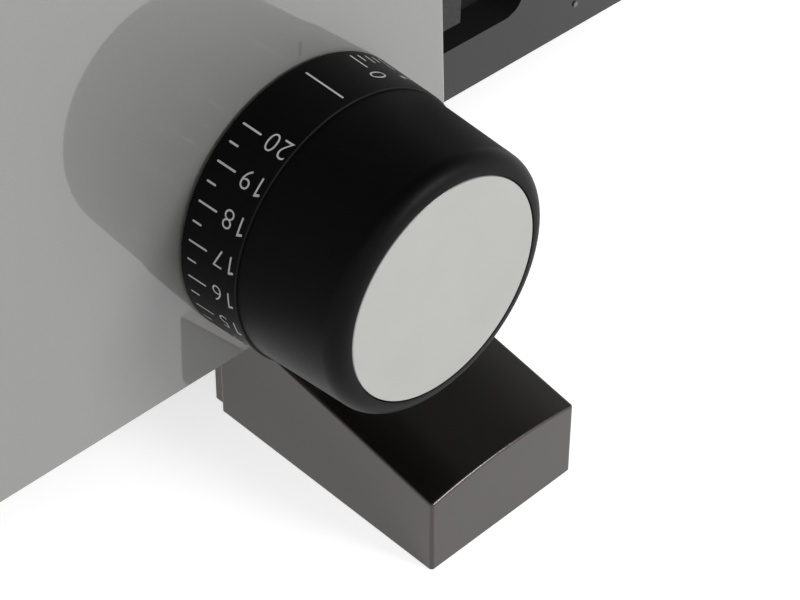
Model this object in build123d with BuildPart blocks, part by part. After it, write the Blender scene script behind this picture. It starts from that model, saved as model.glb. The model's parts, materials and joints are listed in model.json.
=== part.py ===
from build123d import *
import math
import os

# Electric food slicer with a thickness knob, a round blade, a sliding carriage and a food holder.
# +X is the end where the user stands, -Y the knob side, +Y the carriage side, +Z up.
# The origin lies on the table, under the middle of the whole machine.

# ---- overall ----
overall_length = 350.0
overall_width = 226.0

# ---- fits and clearances ----
running_fit = 0.05        # radial play of a shaft in its bore
seat_gap = 0.02           # play between pieces that are pushed together
slide_gap = 0.3           # gap between sliding faces
face_gap = 0.4            # gap behind the dial ring

# ---- thickness knob ----
knob_setback = 200.0      # from the user's end of the machine to the knob's axis
knob_height = 78.3
knob_length = 40.85
dial_radius = 30.9
dial_length = 15.28
dial_draft = 0.7          # the dial ring narrows by this much along its length
dial_back_chamfer = 0.5
grip_step = 0.45          # the grip is this much smaller than the ring where they meet
grip_end_radius = 28.2
grip_edge_round = 3.8
seam_width = 0.15
disc_radius = 24.16
disc_rim_gap = 0.15
disc_thickness = 1.0
knob_wall = 2.6
knob_boss_radius = 9.0
knob_floor = 3.0          # thickness of the ring's web and of the grip's end
bushing_flange = 3.0
bushing_lip = 2.0
knob_shaft_radius = 5.0
knob_turn = 329.3         # degrees from closed to the widest setting

# ---- thickness cam and stop plate travel ----
stop_travel = 21.5
cam_hub_radius = 8.0
cam_ridge_radius = 16.0
cam_ridge_width = 4.0
cam_overrun = 12.0        # degrees of ridge past each end of the travel
follower_radius = 1.5
follower_play = 0.7
follower_depth = 41.0     # from the housing face to the ridge where the knob is closed

# ---- tower housing ----
tower_depth = 76.5        # from the housing face to the cutting plane
housing_wall = 2.5
housing_bottom = 45.0
housing_top = 215.0
housing_front = 43.8      # front lower corner, ahead of the knob's axis
housing_front_lean = 3.8  # degrees
housing_rear_lean = 2.5
housing_edge_round = 0.6
front_top_round = 26.0
rear_top_round = 48.0
blade_room = 11.5         # from the bearing plate's outer face to the cutting plane
bearing_plate_thickness = 6.0
boss_radius = 5.0
knob_boss_height = 4.0
boss_inset = 10.5         # lower screw bosses above the housing's bottom edge
boss_rear_inset = 9.5
boss_front_inset = 68.2
boss_rear_top = 32.0      # upper screw bosses below the housing's top
boss_front_top = 22.0
boss_rear_reach = 92.0    # upper screw bosses behind and ahead of the knob's axis
boss_front_reach = 16.0
vent_count = 6
vent_width = 3.0
vent_height = 30.0
vent_pitch = 7.0

# ---- screws ----
housing_screw_radius = 2.0
screw_head_radius = 4.0
screw_head_height = 2.0
screw_reach = 14.0        # length of thread in a boss
screw_pilot_depth = 18.0
screw_hole_play = 0.3
base_screw_head_radius = 3.6
base_screw_head_height = 3.0
base_screw_well = 3.8
base_screw_seat = 8.0     # from the screw's seat to the top of the plinth
base_screw_inset = 22.0   # from the plinth's rear end
base_screw_front = 8.0    # behind the knob's axis
rail_screw_depth = 10.0
rail_pilot_depth = 12.0

# ---- blade ----
blade_offset = 16.0       # blade axis behind the knob's axis
blade_low = 33.0          # lowest point of the blade above the table
blade_rim = 12.0          # from the blade's highest point to the housing's top
blade_rear_rim = 14.0     # from the blade's rearmost point to the housing's rear corner
blade_thickness = 1.2
blade_bevel = 6.0
blade_land = 1.0          # flat behind the cutting edge
blade_dish = 5.0
blade_dish_width = 25.0   # from the blade's flat middle to its edge
blade_gap = 2.0           # radial gap around the blade
blade_shaft_radius = 6.0
blade_hub_radius = 30.0
blade_hub_thickness = 3.0
blade_screw_circle = 22.0
blade_screw_radius = 3.0
blade_screw_height = 1.2
blade_spigot = 1.0        # the hub's spigot is this much smaller than the blade's bore
blade_bore_margin = 2.0
lock_radius = 15.0
lock_cap = 2.6
lock_slot_width = 3.0
lock_slot_depth = 1.6
bearing_radius = 11.0
bearing_boss_wall = 3.0
guard_setback = 1.0       # guard face behind the cutting plane
guard_step = 0.5          # from the screw heads to the guard's inner face

# ---- gears and motor ----
output_module = 1.0
output_teeth = 60
idler_small_teeth = 15
input_module = 0.8
idler_large_teeth = 45
pinion_teeth = 12
mesh_play = 0.15          # added to each centre distance
pressure_angle = 20.0
output_gear_width = 6.0
input_gear_width = 5.0
stage_gap = 1.0
motor_bearing_angle = -110.0
idler_shaft_radius = 3.0
motor_radius = 28.0
motor_frame_thickness = 3.0
motor_shaft_radius = 3.0
rotor_radius = 16.4
rotor_air_gap = 0.6
stator_length = 14.0
winding_length = 3.0
commutator_radius = 8.0
commutator_length = 6.0
fan_radius = 23.0
fan_width = 4.0
fan_blades = 10
fan_blade_thickness = 1.2
fan_rim = 1.0
fan_hub_wall = 4.0
brush_width = 5.0
brush_holder_length = 4.0
brush_holder_width = 7.0
motor_bolt_circle = 25.0
motor_bolt_radius = 1.6
standoff_radius = 3.0

# ---- outrigger foot under the knob ----
foot_width = 43.7
foot_rear = 0.45          # the foot's rear side behind the knob's axis
foot_end_lean = 0.8       # the foot's end leans back by this much over its height
foot_back = 26.5
foot_height = 19.2
foot_slope = 0.192
foot_crown = 1.8
foot_clearance = 0.2
foot_edge_round = 0.8
foot_collar_inset = 1.5
foot_collar_length = 3.5
foot_collar_lift = 0.5
foot_collar_rise = 4.0
bridge_inset = 15.0

# ---- base ----
base_lift = 3.0
base_wall = 3.0
plinth_front = 56.0       # ahead of the knob's axis
plinth_depth = 42.0       # behind the housing face
deck_height = 28.0
deck_gap = 1.5            # from the cutting plane to the deck
deck_overhang = 1.5       # deck beyond the carriage table
blade_pit = 4.0           # the room under the blade runs this far into the deck
base_corner_round = 8.0
base_top_round = 2.5
cover_thickness = 2.0
pad_radius = 9.0
pad_height = 4.0
pad_chamfer = 0.8
pad_boss_wall = 2.4
pad_inset = 18.5          # from the edges of the deck to a pad's middle

# ---- stop plate ----
stop_thickness = 16.5
stop_facing_thickness = 1.0
stop_bottom = 15.8
stop_top = 160.0
stop_front_inset = 2.0
stop_rear = 60.0          # ahead of the knob's axis
stop_corner_round = 6.0
stop_edge_chamfer = 0.4
pocket_front = 133.8
pocket_rear = 88.0
pocket_bottom = 31.7
pocket_top = 140.0
pocket_depth = 11.0
pocket_corner_round = 6.6
stop_pin_radius = 0.8
stop_pin_head = 0.4
stop_pin_x = 154.9
stop_pin_rise = 8.2
stop_pin_inset = 10.0

# ---- stop carrier ----
rod_radius = 4.0
rod_x = 27.0
rod_spread = 40.0
rod_lower = 60.0
bushing_radius = 6.5
bushing_length = 20.0
arm_thickness = 10.0
arm_height = 32.0
arm_reach = 78.0
arm_foot_width = 22.0
arm_foot_reach = 6.0      # the foot beyond the arm
arm_slot_play = 1.0
cam_gap = 2.5             # from the cam's ridge to the carrier

# ---- carriage ----
carriage_length = 150.0
carriage_gap = 2.0        # from the cutting plane to the table
table_top = 48.0
table_thickness = 3.0
table_corner_round = 4.0
groove_count = 7
groove_width = 2.0
groove_depth = 0.8
groove_inset = 6.0
rail_width = 20.0
rail_height = 6.0
rail_head = 3.0
rail_lip = 4.0
rail_inset = 6.0          # from the deck's ends
rail_offset = 8.0         # from the table's middle
rail_screw_inset = 25.0
slider_width = 36.0
slider_length = 120.0
slider_lift = 0.8         # above the deck
wall_thickness = 6.0
wall_top = 135.0
wall_inset = 4.0
wall_side_inset = 0.5
wall_corner_round = 10.0
guard_thickness = 3.0
guard_length = 42.0
guard_corner_round = 18.0
guard_runner_gap = 3.0    # from the thumb guard's top to the food holder's runner

# ---- food holder ----
handle_overhang = 6.65    # handle beyond the carriage table
handle_height = 26.0
handle_length = 59.0
handle_round = 12.0
handle_edge_round = 3.0
holder_inset = 6.0        # from the table's outer edge
holder_wall_gap = 4.0
holder_thickness = 4.0
holder_length = 118.0
holder_bottom = 54.0
holder_top = 150.0
holder_corner_round = 8.0
runner_length = 26.0
runner_wall = 3.0
runner_drop = 14.0        # below the end wall's top
spike_radius = 1.0
spike_length = 8.0
spike_taper = 6.0         # degrees
spike_columns = 6
spike_rows = 4

# ---- controls and cable inlet ----
button_drop = 49.0        # below the housing's top
button_width = 16.0
button_tall = 26.0
button_round = 3.0
button_edge_round = 1.2
button_travel = 3.5
button_proud = 3.0
button_stem = 3.0         # clear height behind the wall for the travel
button_flange = 1.5
button_flange_width = 2.0
release_drop = 30.0       # below the start button
release_radius = 5.5
release_edge_round = 1.0
release_travel = 3.0
control_depth = 30.0      # behind the housing face
switch_depth = 18.0
switch_side = 9.0
switch_margin = 10.0
switch_gap = 0.5          # left when a button is pressed right in
terminal_size = (30.0, 16.0)
terminal_depth = 14.0
terminal_place = (34.0, 40.0)      # behind the knob's axis and below the housing's top
terminal_hole_radius = 1.8
terminal_hole_pitch = (9.0, 8.0)
terminal_hole_depth = 6.0
suppressor_size = (32.0, 20.0)
suppressor_depth = 22.0
suppressor_round = 2.0
suppressor_gap = 8.0               # above the motor
suppressor_setback = 78.0          # behind the knob's axis
gland_radius = 6.0
gland_length = 18.0
gland_tail = 6.0
gland_taper = 6.0         # degrees
gland_overlap = 0.5
gland_height = 70.0
gland_depth = 34.0
cable_radius = 3.2

# ---- places worked out from the sizes above ----
front_end = overall_length / 2
rear_end = -overall_length / 2
knob_x = front_end - knob_setback
knob_z = knob_height
face_y = -overall_width / 2 + knob_length
cut_y = face_y + tower_depth
foot_x0 = knob_x - foot_rear
foot_x1 = foot_x0 + foot_width
foot_y0 = -overall_width / 2
foot_y1 = face_y + foot_back
inner_face_y = face_y + housing_wall
plate_out_y = cut_y - blade_room
plate_in_y = plate_out_y - bearing_plate_thickness
blade_x = knob_x - blade_offset
blade_radius = (housing_top - blade_rim - blade_low) / 2
blade_flat_radius = blade_radius - blade_dish_width
blade_z = blade_low + blade_radius
housing_rear = blade_offset + blade_radius + blade_rear_rim
output_radius = output_module * output_teeth / 2
idler_distance = output_module * (output_teeth + idler_small_teeth) / 2 + mesh_play
input_distance = input_module * (idler_large_teeth + pinion_teeth) / 2 + mesh_play
idler_x = blade_x - idler_distance
idler_z = blade_z
motor_turn = math.radians(motor_bearing_angle)
motor_x = idler_x + input_distance * math.cos(motor_turn)
motor_z = idler_z + input_distance * math.sin(motor_turn)
output_y1 = plate_in_y - 2 * stage_gap
output_y0 = output_y1 - output_gear_width
input_y1 = output_y0 - stage_gap
input_y0 = input_y1 - input_gear_width
back_frame_y1 = input_y0 - stage_gap
back_frame_y0 = back_frame_y1 - motor_frame_thickness
front_frame_y0 = inner_face_y + 1.5 * stage_gap
front_frame_y1 = front_frame_y0 + motor_frame_thickness
fan_y1 = back_frame_y0 - stage_gap
fan_y0 = fan_y1 - fan_width
stator_y1 = fan_y0 - stage_gap - winding_length
stator_y0 = stator_y1 - stator_length
follower_y = face_y + follower_depth
cam_lead = stop_travel * 360 / knob_turn
stop_y0 = cut_y - stop_thickness
stop_x0 = knob_x + stop_rear
stop_x1 = front_end - stop_front_inset
table_y0 = cut_y + carriage_gap
table_y1 = overall_width / 2 - handle_overhang
deck_y0 = cut_y + deck_gap
deck_y1 = table_y1 + deck_overhang
plinth_y0 = face_y + plinth_depth
plinth_x0 = knob_x - housing_rear
plinth_x1 = knob_x + plinth_front
table_x1 = front_end
table_x0 = table_x1 - carriage_length
rail_y = (table_y0 + table_y1) / 2 + rail_offset
rail_top = deck_height + rail_height
wall_x1 = table_x1 - wall_inset
wall_x0 = wall_x1 - wall_thickness
rise = housing_top - housing_bottom
front_slope = math.tan(math.radians(housing_front_lean))
rear_slope = math.tan(math.radians(housing_rear_lean))
button_z = housing_top - button_drop
release_z = button_z - release_drop
control_y = face_y + control_depth
housing_bosses = [
    (knob_x - housing_rear + boss_rear_inset, housing_bottom + boss_inset),
    (knob_x + housing_front - boss_front_inset, housing_bottom + boss_inset),
    (knob_x - boss_rear_reach, housing_top - boss_rear_top),
    (knob_x + boss_front_reach, housing_top - boss_front_top),
]
base_screw_y = plate_in_y - boss_radius - slide_gap
base_screw_x0 = plinth_x0 + base_screw_inset
base_screw_x1 = knob_x - base_screw_front
base_screw_places = [
    (base_screw_x0, base_screw_y),
    ((base_screw_x0 + base_screw_x1) / 2, base_screw_y),
    (base_screw_x1, base_screw_y),
]
plinth_pad_inset = pad_radius + base_wall
pad_boss_radius = pad_radius + pad_boss_wall
foot_pad = ((foot_x0 + foot_x1) / 2, (foot_y0 + face_y) / 2)
base_pads = [
    (plinth_x0 + plinth_pad_inset, plinth_y0 + plinth_pad_inset),
    (rear_end + pad_inset, deck_y1 - pad_inset),
    (front_end - pad_inset, deck_y1 - pad_inset),
    (front_end - pad_inset, deck_y0 + pad_inset),
]


def facing(y, x=0.0, z=0.0):
    """A plane across the machine: local x is +X, local y is +Z, and its normal points to the knob side."""
    return Plane(origin=(x, y, z), x_dir=(1, 0, 0), z_dir=(0, -1, 0))


def save(piece, name):
    """Label a finished piece and write its STEP file."""
    piece.part.label = name
    export_step(piece.part, f"parts/{name}.step")


def rods(places, radius, y0, y1, bore=0.0):
    """Round bars along Y at the given X, Z places, hollow where a bore is given."""
    with BuildPart() as bars:
        with BuildSketch(facing(y0)):
            with Locations(*places):
                Circle(radius)
                if bore:
                    Circle(bore, mode=Mode.SUBTRACT)
        extrude(amount=-(y1 - y0))
    return bars


def turned(profile, x, z):
    """A body turned about the line along Y through X, Z, from its radius and Y points."""
    with BuildPart() as body:
        with BuildSketch(Plane.XY.offset(z)):
            with BuildLine():
                Polyline(*[(x + r, y) for r, y in profile], close=True)
            make_face()
        revolve(axis=Axis((x, 0, z), (0, 1, 0)))
    return body


def screws(places, radius, head_radius, head_y, tip_y, head_depth):
    """Pan-head screws along Y: the head starts at head_y and the shank runs to tip_y."""
    side = 1 if tip_y > head_y else -1
    with BuildPart() as group:
        with BuildSketch(facing(head_y)):
            with Locations(*places):
                Circle(head_radius)
        extrude(amount=-side * head_depth)
        with BuildSketch(facing(head_y)):
            with Locations(*places):
                Circle(radius)
        extrude(amount=-(tip_y - head_y))
        with BuildSketch(facing(head_y)):
            with Locations(*places):
                Rectangle(head_radius * 1.2, head_radius * 0.3)
                Rectangle(head_radius * 0.3, head_radius * 1.2)
        extrude(amount=-side * head_depth / 2, mode=Mode.SUBTRACT)
    return group


def gear_outline(module, teeth, middle):
    """Corner points of an involute spur gear with one tooth centred on the angle middle, in degrees."""
    pitch = module * teeth / 2
    base = pitch * math.cos(math.radians(pressure_angle))
    tip = pitch + 0.9 * module
    root = pitch - 1.25 * module
    half = math.pi / (2 * teeth) - 0.06 * module / pitch
    flat = math.tan(math.radians(pressure_angle)) - math.radians(pressure_angle)
    steps = [max(base, root), (base + pitch) / 2 if base > root else pitch, pitch, tip]
    flank = []
    for radius in sorted({max(r, base, root) for r in steps}):
        opening = math.acos(base / radius)
        flank.append((radius, half + flat - (math.tan(opening) - opening)))
    points = []
    for tooth in range(teeth):
        centre = math.radians(middle) + 2 * math.pi * tooth / teeth
        around = [(root, -flank[0][1])] + [(r, -a) for r, a in flank]
        around += [(r, a) for r, a in reversed(flank)] + [(root, flank[0][1])]
        for radius, turn in around:
            points.append((radius * math.cos(centre + turn), radius * math.sin(centre + turn)))
    cleaned = [points[0]]
    for point in points[1:]:
        if math.dist(point, cleaned[-1]) > 0.01:
            cleaned.append(point)
    return cleaned


def spur_gear(module, teeth, middle, x, z, y0, y1, bore):
    """A spur gear along Y with a plain bore."""
    with BuildPart() as gear:
        with BuildSketch(facing(y0, x, z)):
            with BuildLine():
                Polyline(*gear_outline(module, teeth, middle), close=True)
            make_face()
            Circle(bore, mode=Mode.SUBTRACT)
        extrude(amount=-(y1 - y0))
    return gear


def housing_outline(inset):
    """The tower's outline, drawn in a facing plane and set in by the given distance."""
    corners = [
        (knob_x - housing_rear, housing_bottom),
        (knob_x + housing_front, housing_bottom),
        (knob_x + housing_front - rise * front_slope, housing_top),
        (knob_x - housing_rear + rise * rear_slope, housing_top),
    ]
    with BuildSketch() as outline:
        with BuildLine():
            Polyline(*corners, close=True)
        make_face()
        top = outline.vertices().group_by(Axis.Y)[-1].sort_by(Axis.X)
        fillet(top[0], rear_top_round)
        fillet(outline.vertices().group_by(Axis.Y)[-1].sort_by(Axis.X)[-1], front_top_round)
        if inset:
            offset(amount=-inset, kind=Kind.INTERSECTION, mode=Mode.REPLACE)
    return outline.sketch


os.makedirs("parts", exist_ok=True)

# ---- tower housing: a one-piece shell, open towards the blade ----
arm_z = knob_z
slot_y0 = follower_y - arm_thickness / 2 - stop_travel - arm_slot_play
slot_y1 = follower_y + arm_thickness / 2 + arm_slot_play
with BuildPart() as motor_housing:
    with BuildSketch(facing(face_y)):
        add(housing_outline(0))
    extrude(amount=-(plate_out_y - face_y))
    fillet(motor_housing.faces().sort_by(Axis.Y)[0].edges(), housing_edge_round)
    with BuildSketch(facing(inner_face_y)):
        add(housing_outline(housing_wall))
    extrude(amount=-(plate_out_y - inner_face_y + 1), mode=Mode.SUBTRACT)
    with BuildSketch(facing(inner_face_y)):
        with Locations(*housing_bosses):
            Circle(boss_radius)
        with Locations((knob_x, knob_z)):
            Circle(knob_boss_radius + knob_boss_height)
    extrude(amount=-knob_boss_height)
    with BuildSketch(facing(inner_face_y)):
        with Locations(*housing_bosses):
            Circle(boss_radius)
    extrude(amount=-(plate_in_y - inner_face_y))
    with BuildSketch(facing(plate_in_y)):
        with Locations(*housing_bosses):
            Circle(housing_screw_radius + seat_gap)
    extrude(amount=screw_pilot_depth, mode=Mode.SUBTRACT)
    with BuildSketch(facing(face_y)):
        with Locations((knob_x, knob_z)):
            Circle(knob_boss_radius)
    extrude(amount=-(housing_wall + knob_boss_height + 1), mode=Mode.SUBTRACT)
    # slot for the stop carrier's arm in the front wall
    with BuildSketch(Plane.YZ.offset(knob_x)):
        with Locations(((slot_y0 + slot_y1) / 2, arm_z)):
            RectangleRounded(slot_y1 - slot_y0, arm_height + 2 * arm_slot_play, 2.0)
    extrude(amount=housing_front + 10, mode=Mode.SUBTRACT)
    # openings for the two buttons
    with BuildSketch(Plane.YZ.offset(knob_x)):
        with Locations((control_y, button_z)):
            RectangleRounded(button_width + 2 * slide_gap, button_tall + 2 * slide_gap,
                             button_round + slide_gap)
        with Locations((control_y, release_z)):
            Circle(release_radius + slide_gap)
    extrude(amount=housing_front + 10, mode=Mode.SUBTRACT)
    # holes for the screws from the base
    with BuildSketch(Plane.XY.offset(housing_bottom - 1.0)):
        with Locations(*base_screw_places):
            Circle(housing_screw_radius + seat_gap)
    extrude(amount=housing_wall + 2.0, mode=Mode.SUBTRACT)
    # cable inlet and cooling slots in the rear wall
    with BuildSketch(Plane.YZ.offset(knob_x - housing_rear + 30)):
        with Locations((face_y + gland_depth, gland_height)):
            Circle(gland_radius + seat_gap)
        with Locations(((face_y + plate_in_y) / 2, motor_z + motor_radius / 2)):
            with GridLocations(vent_pitch, 0, vent_count, 1):
                SlotOverall(vent_height, vent_width, rotation=90)
    extrude(amount=-40, mode=Mode.SUBTRACT)
save(motor_housing, "motor_housing")

# ---- bearing plate: closes the tower and carries the blade, the gears, the motor and the guide rods ----
rod_places = [(knob_x + rod_x, rod_lower), (knob_x + rod_x, rod_lower + rod_spread)]
standoff_places = []
for turn in (90.0, 0.0, -90.0):
    angle = math.radians(motor_bearing_angle + turn)
    place = (motor_x + motor_bolt_circle * math.cos(angle), motor_z + motor_bolt_circle * math.sin(angle))
    standoff_places.append(place)
with BuildPart() as bearing_plate:
    with BuildSketch(facing(plate_in_y)):
        add(housing_outline(housing_wall + slide_gap))
    extrude(amount=-bearing_plate_thickness)
    with BuildSketch(facing(plate_in_y)):
        with Locations((blade_x, blade_z)):
            Circle(bearing_radius + bearing_boss_wall)
    extrude(amount=stage_gap)
    with BuildSketch(facing(plate_in_y - stage_gap)):
        with Locations((blade_x, blade_z)):
            Circle(bearing_radius + seat_gap)
    extrude(amount=-(bearing_plate_thickness + stage_gap + 1), mode=Mode.SUBTRACT)
    with BuildSketch(facing(plate_in_y)):
        with Locations((knob_x, knob_z)):
            Circle(knob_shaft_radius + running_fit)
        with Locations(*rod_places):
            Circle(rod_radius + seat_gap)
        with Locations(*housing_bosses):
            Circle(housing_screw_radius + screw_hole_play)
        with Locations((idler_x, idler_z)):
            Circle(idler_shaft_radius + seat_gap)
    extrude(amount=-(bearing_plate_thickness + 1), mode=Mode.SUBTRACT)
save(bearing_plate, "bearing_plate")

plate_screws = screws(housing_bosses, housing_screw_radius, screw_head_radius, plate_out_y + screw_head_height,
                      plate_in_y - screw_reach, screw_head_height)
save(plate_screws, "housing_screws")

# ---- blade guard: the rim around the back and the top of the blade ----
guard_y0 = plate_out_y + screw_head_height + guard_step
with BuildSketch() as blade_clearance:
    with Locations((blade_x, blade_z)):
        Circle(blade_radius + blade_gap)
    with Locations((blade_x + housing_rear / 2, blade_z - housing_rear / 2)):
        Rectangle(housing_rear, housing_rear)
with BuildPart() as blade_guard:
    with BuildSketch(facing(plate_out_y)):
        add(housing_outline(0))
        add(housing_outline(housing_wall), mode=Mode.SUBTRACT)
        add(blade_clearance.sketch, mode=Mode.SUBTRACT)
    extrude(amount=-(guard_y0 - plate_out_y))
    with BuildSketch(facing(guard_y0)):
        add(housing_outline(0))
        add(blade_clearance.sketch, mode=Mode.SUBTRACT)
    extrude(amount=-(cut_y - guard_setback - guard_y0))
save(blade_guard, "blade_guard")

# ---- knob bushing in the housing face ----
bushing_y1 = inner_face_y + knob_boss_height
knob_bushing = turned([
    (knob_shaft_radius + running_fit, face_y), (knob_boss_radius - seat_gap, face_y),
    (knob_boss_radius - seat_gap, bushing_y1), (knob_boss_radius + bushing_flange, bushing_y1),
    (knob_boss_radius + bushing_flange, bushing_y1 + bushing_lip),
    (knob_shaft_radius + running_fit, bushing_y1 + bushing_lip),
], knob_x, knob_z)
save(knob_bushing, "knob_bushing")

# ---- knob: dial ring, grip, end disc, shaft and cam ----
knob_end_y = face_y - knob_length
dial_y1 = face_y - face_gap
seam_y = face_y - dial_length
dial_seam_radius = dial_radius - dial_draft
grip_y1 = seam_y - seam_width
spigot_radius = dial_seam_radius - knob_wall - seat_gap
dial_ring = turned([
    (knob_shaft_radius + seat_gap, dial_y1), (dial_radius - dial_back_chamfer, dial_y1),
    (dial_radius, dial_y1 - dial_back_chamfer), (dial_seam_radius, seam_y),
    (dial_seam_radius - knob_wall, seam_y), (dial_seam_radius - knob_wall, dial_y1 - knob_floor),
    (knob_boss_radius, dial_y1 - knob_floor), (knob_boss_radius, dial_y1 - 2 * knob_floor),
    (knob_shaft_radius + seat_gap, dial_y1 - 2 * knob_floor),
], knob_x, knob_z)
save(dial_ring, "dial_ring")

with BuildPart() as knob_grip:
    with BuildSketch(Plane.XY.offset(knob_z)):
        with BuildLine():
            Polyline(
                (knob_x + knob_shaft_radius + seat_gap, knob_end_y + knob_floor),
                (knob_x + knob_shaft_radius + seat_gap, dial_y1 - 2 * knob_floor - seat_gap),
                (knob_x + knob_boss_radius, dial_y1 - 2 * knob_floor - seat_gap),
                (knob_x + knob_boss_radius, knob_end_y + knob_floor + disc_thickness),
                (knob_x + spigot_radius - knob_wall, knob_end_y + knob_floor + disc_thickness),
                (knob_x + spigot_radius - knob_wall, seam_y + 2 * knob_floor),
                (knob_x + spigot_radius, seam_y + 2 * knob_floor),
                (knob_x + spigot_radius, grip_y1),
                (knob_x + dial_seam_radius - grip_step, grip_y1),
                (knob_x + grip_end_radius, knob_end_y),
                (knob_x + disc_radius + disc_rim_gap, knob_end_y),
                (knob_x + disc_radius + disc_rim_gap, knob_end_y + disc_thickness),
                (knob_x, knob_end_y + disc_thickness),
                (knob_x, knob_end_y + knob_floor),
                close=True,
            )
        make_face()
    revolve(axis=Axis((knob_x, 0, knob_z), (0, 1, 0)))
    end_edges = knob_grip.edges().filter_by(GeomType.CIRCLE).filter_by_position(
        Axis.Y, knob_end_y - 0.01, knob_end_y + 0.01)
    grip_rim = grip_end_radius - disc_radius - disc_rim_gap
    fillet(end_edges.sort_by(SortBy.RADIUS)[-1], min(grip_edge_round, grip_rim - 0.05))
save(knob_grip, "knob_grip")

with BuildPart() as knob_disc:
    with BuildSketch(facing(knob_end_y)):
        with Locations((knob_x, knob_z)):
            Circle(disc_radius)
    extrude(amount=-(disc_thickness - seat_gap))
    chamfer(knob_disc.faces().sort_by(Axis.Y)[0].edges(), 0.2)
save(knob_disc, "knob_disc")

knob_shaft = turned([
    (0, knob_end_y + knob_floor + seat_gap), (knob_shaft_radius, knob_end_y + knob_floor + seat_gap),
    (knob_shaft_radius, plate_out_y - 1.0), (0, plate_out_y - 1.0),
], knob_x, knob_z)
save(knob_shaft, "knob_shaft")

cam_start_y = follower_y + cam_overrun / 360 * cam_lead
cam_climb = (knob_turn + 2 * cam_overrun) / 360 * cam_lead
cam_y0 = bushing_y1 + bushing_lip + slide_gap
cam_y1 = cam_start_y + cam_ridge_width
ridge_middle = (cam_hub_radius + cam_ridge_radius) / 2
ridge_depth = cam_ridge_radius - cam_hub_radius + 1.0
with BuildPart() as thickness_cam:
    with BuildSketch(facing(cam_y0)):
        with Locations((knob_x, knob_z)):
            Circle(cam_hub_radius)
            Circle(knob_shaft_radius + seat_gap, mode=Mode.SUBTRACT)
    extrude(amount=-(cam_y1 - cam_y0))
    with BuildLine() as ridge_path:
        coil = Helix(cam_lead, cam_climb, ridge_middle, center=(knob_x, cam_start_y, knob_z),
                     direction=(0, -1, 0), lefthand=True, mode=Mode.PRIVATE)
        add(coil.rotate(Axis((knob_x, 0, knob_z), (0, -1, 0)), 90.0 + cam_overrun))
    start_angle = math.radians(cam_overrun)
    outward = (math.cos(start_angle), 0, math.sin(start_angle))
    with BuildSketch(Plane(origin=ridge_path.line @ 0, x_dir=outward, z_dir=ridge_path.line % 0)):
        with Locations((-0.5, 0)):
            Rectangle(ridge_depth, cam_ridge_width)
    sweep(path=ridge_path.line, is_frenet=True)
save(thickness_cam, "thickness_cam")

# ---- stop carrier: runs on two rods and follows the cam ----
guide_rods = rods(rod_places, rod_radius, inner_face_y, plate_out_y - 0.5)
save(guide_rods, "guide_rods")

carrier_inner_x = knob_x + cam_ridge_radius + cam_gap
arm_foot_x = knob_x + arm_reach - arm_foot_width / 2 + arm_foot_reach
arm_y0 = follower_y - arm_thickness / 2
arm_y1 = follower_y + arm_thickness / 2
pin_offset = (cam_ridge_width / 2 + follower_play + follower_radius) / math.cos(
    math.atan(cam_lead / (2 * math.pi * (cam_ridge_radius - 3.0))))
with BuildPart() as stop_carrier:
    with BuildSketch(facing(follower_y - bushing_length / 2)):
        with Locations(*rod_places):
            Circle(bushing_radius)
    extrude(amount=-bushing_length)
    with BuildSketch(facing(arm_y0)):
        with Locations(((carrier_inner_x + knob_x + rod_x + bushing_radius) / 2, rod_lower + rod_spread / 2)):
            Rectangle(knob_x + rod_x + bushing_radius - carrier_inner_x, rod_spread + bushing_radius)
        with Locations(((carrier_inner_x + knob_x + arm_reach) / 2, arm_z)):
            Rectangle(knob_x + arm_reach - carrier_inner_x, arm_height)
    extrude(amount=-arm_thickness)
    with BuildSketch(facing(arm_y0)):
        with Locations((arm_foot_x, arm_z)):
            Rectangle(arm_foot_width, arm_height)
    extrude(amount=-(stop_y0 - arm_y0))
    with BuildSketch(facing(follower_y - bushing_length / 2)):
        with Locations(*rod_places):
            Circle(rod_radius + running_fit)
    extrude(amount=-bushing_length, mode=Mode.SUBTRACT)
save(stop_carrier, "stop_carrier")

with BuildPart() as cam_followers:
    with BuildSketch(Plane.YZ.offset(carrier_inner_x)):
        with Locations((follower_y - pin_offset, knob_z), (follower_y + pin_offset, knob_z)):
            Circle(follower_radius)
    extrude(amount=-(carrier_inner_x - knob_x - cam_hub_radius - 3.0))
save(cam_followers, "cam_followers")

# ---- stop plate with its metal facing ----
stop_middle = ((stop_x0 + stop_x1) / 2, (stop_bottom + stop_top) / 2)
with BuildSketch() as stop_outline:
    with Locations(stop_middle):
        Rectangle(stop_x1 - stop_x0, stop_top - stop_bottom)
    fillet(stop_outline.vertices().group_by(Axis.X)[-1], stop_corner_round)
    with Locations((blade_x, blade_z)):
        Circle(blade_radius + blade_gap, mode=Mode.SUBTRACT)
pocket_middle = (knob_x + (pocket_rear + pocket_front) / 2, (pocket_bottom + pocket_top) / 2)
with BuildPart() as stop_plate:
    with BuildSketch(facing(stop_y0)):
        add(stop_outline.sketch)
    extrude(amount=-(stop_thickness - stop_facing_thickness))
    with BuildSketch(facing(stop_y0)):
        with Locations(pocket_middle):
            RectangleRounded(pocket_front - pocket_rear, pocket_top - pocket_bottom, pocket_corner_round)
    extrude(amount=-pocket_depth, mode=Mode.SUBTRACT)
    lower_edge = stop_plate.faces().sort_by(Axis.Y)[0].outer_wire().edges().sort_by(Axis.Z)[0]
    chamfer(lower_edge, stop_edge_chamfer)
save(stop_plate, "stop_plate")

with BuildPart() as stop_facing:
    with BuildSketch(facing(cut_y - stop_facing_thickness)):
        add(stop_outline.sketch)
    extrude(amount=-stop_facing_thickness)
save(stop_facing, "stop_facing")

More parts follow.
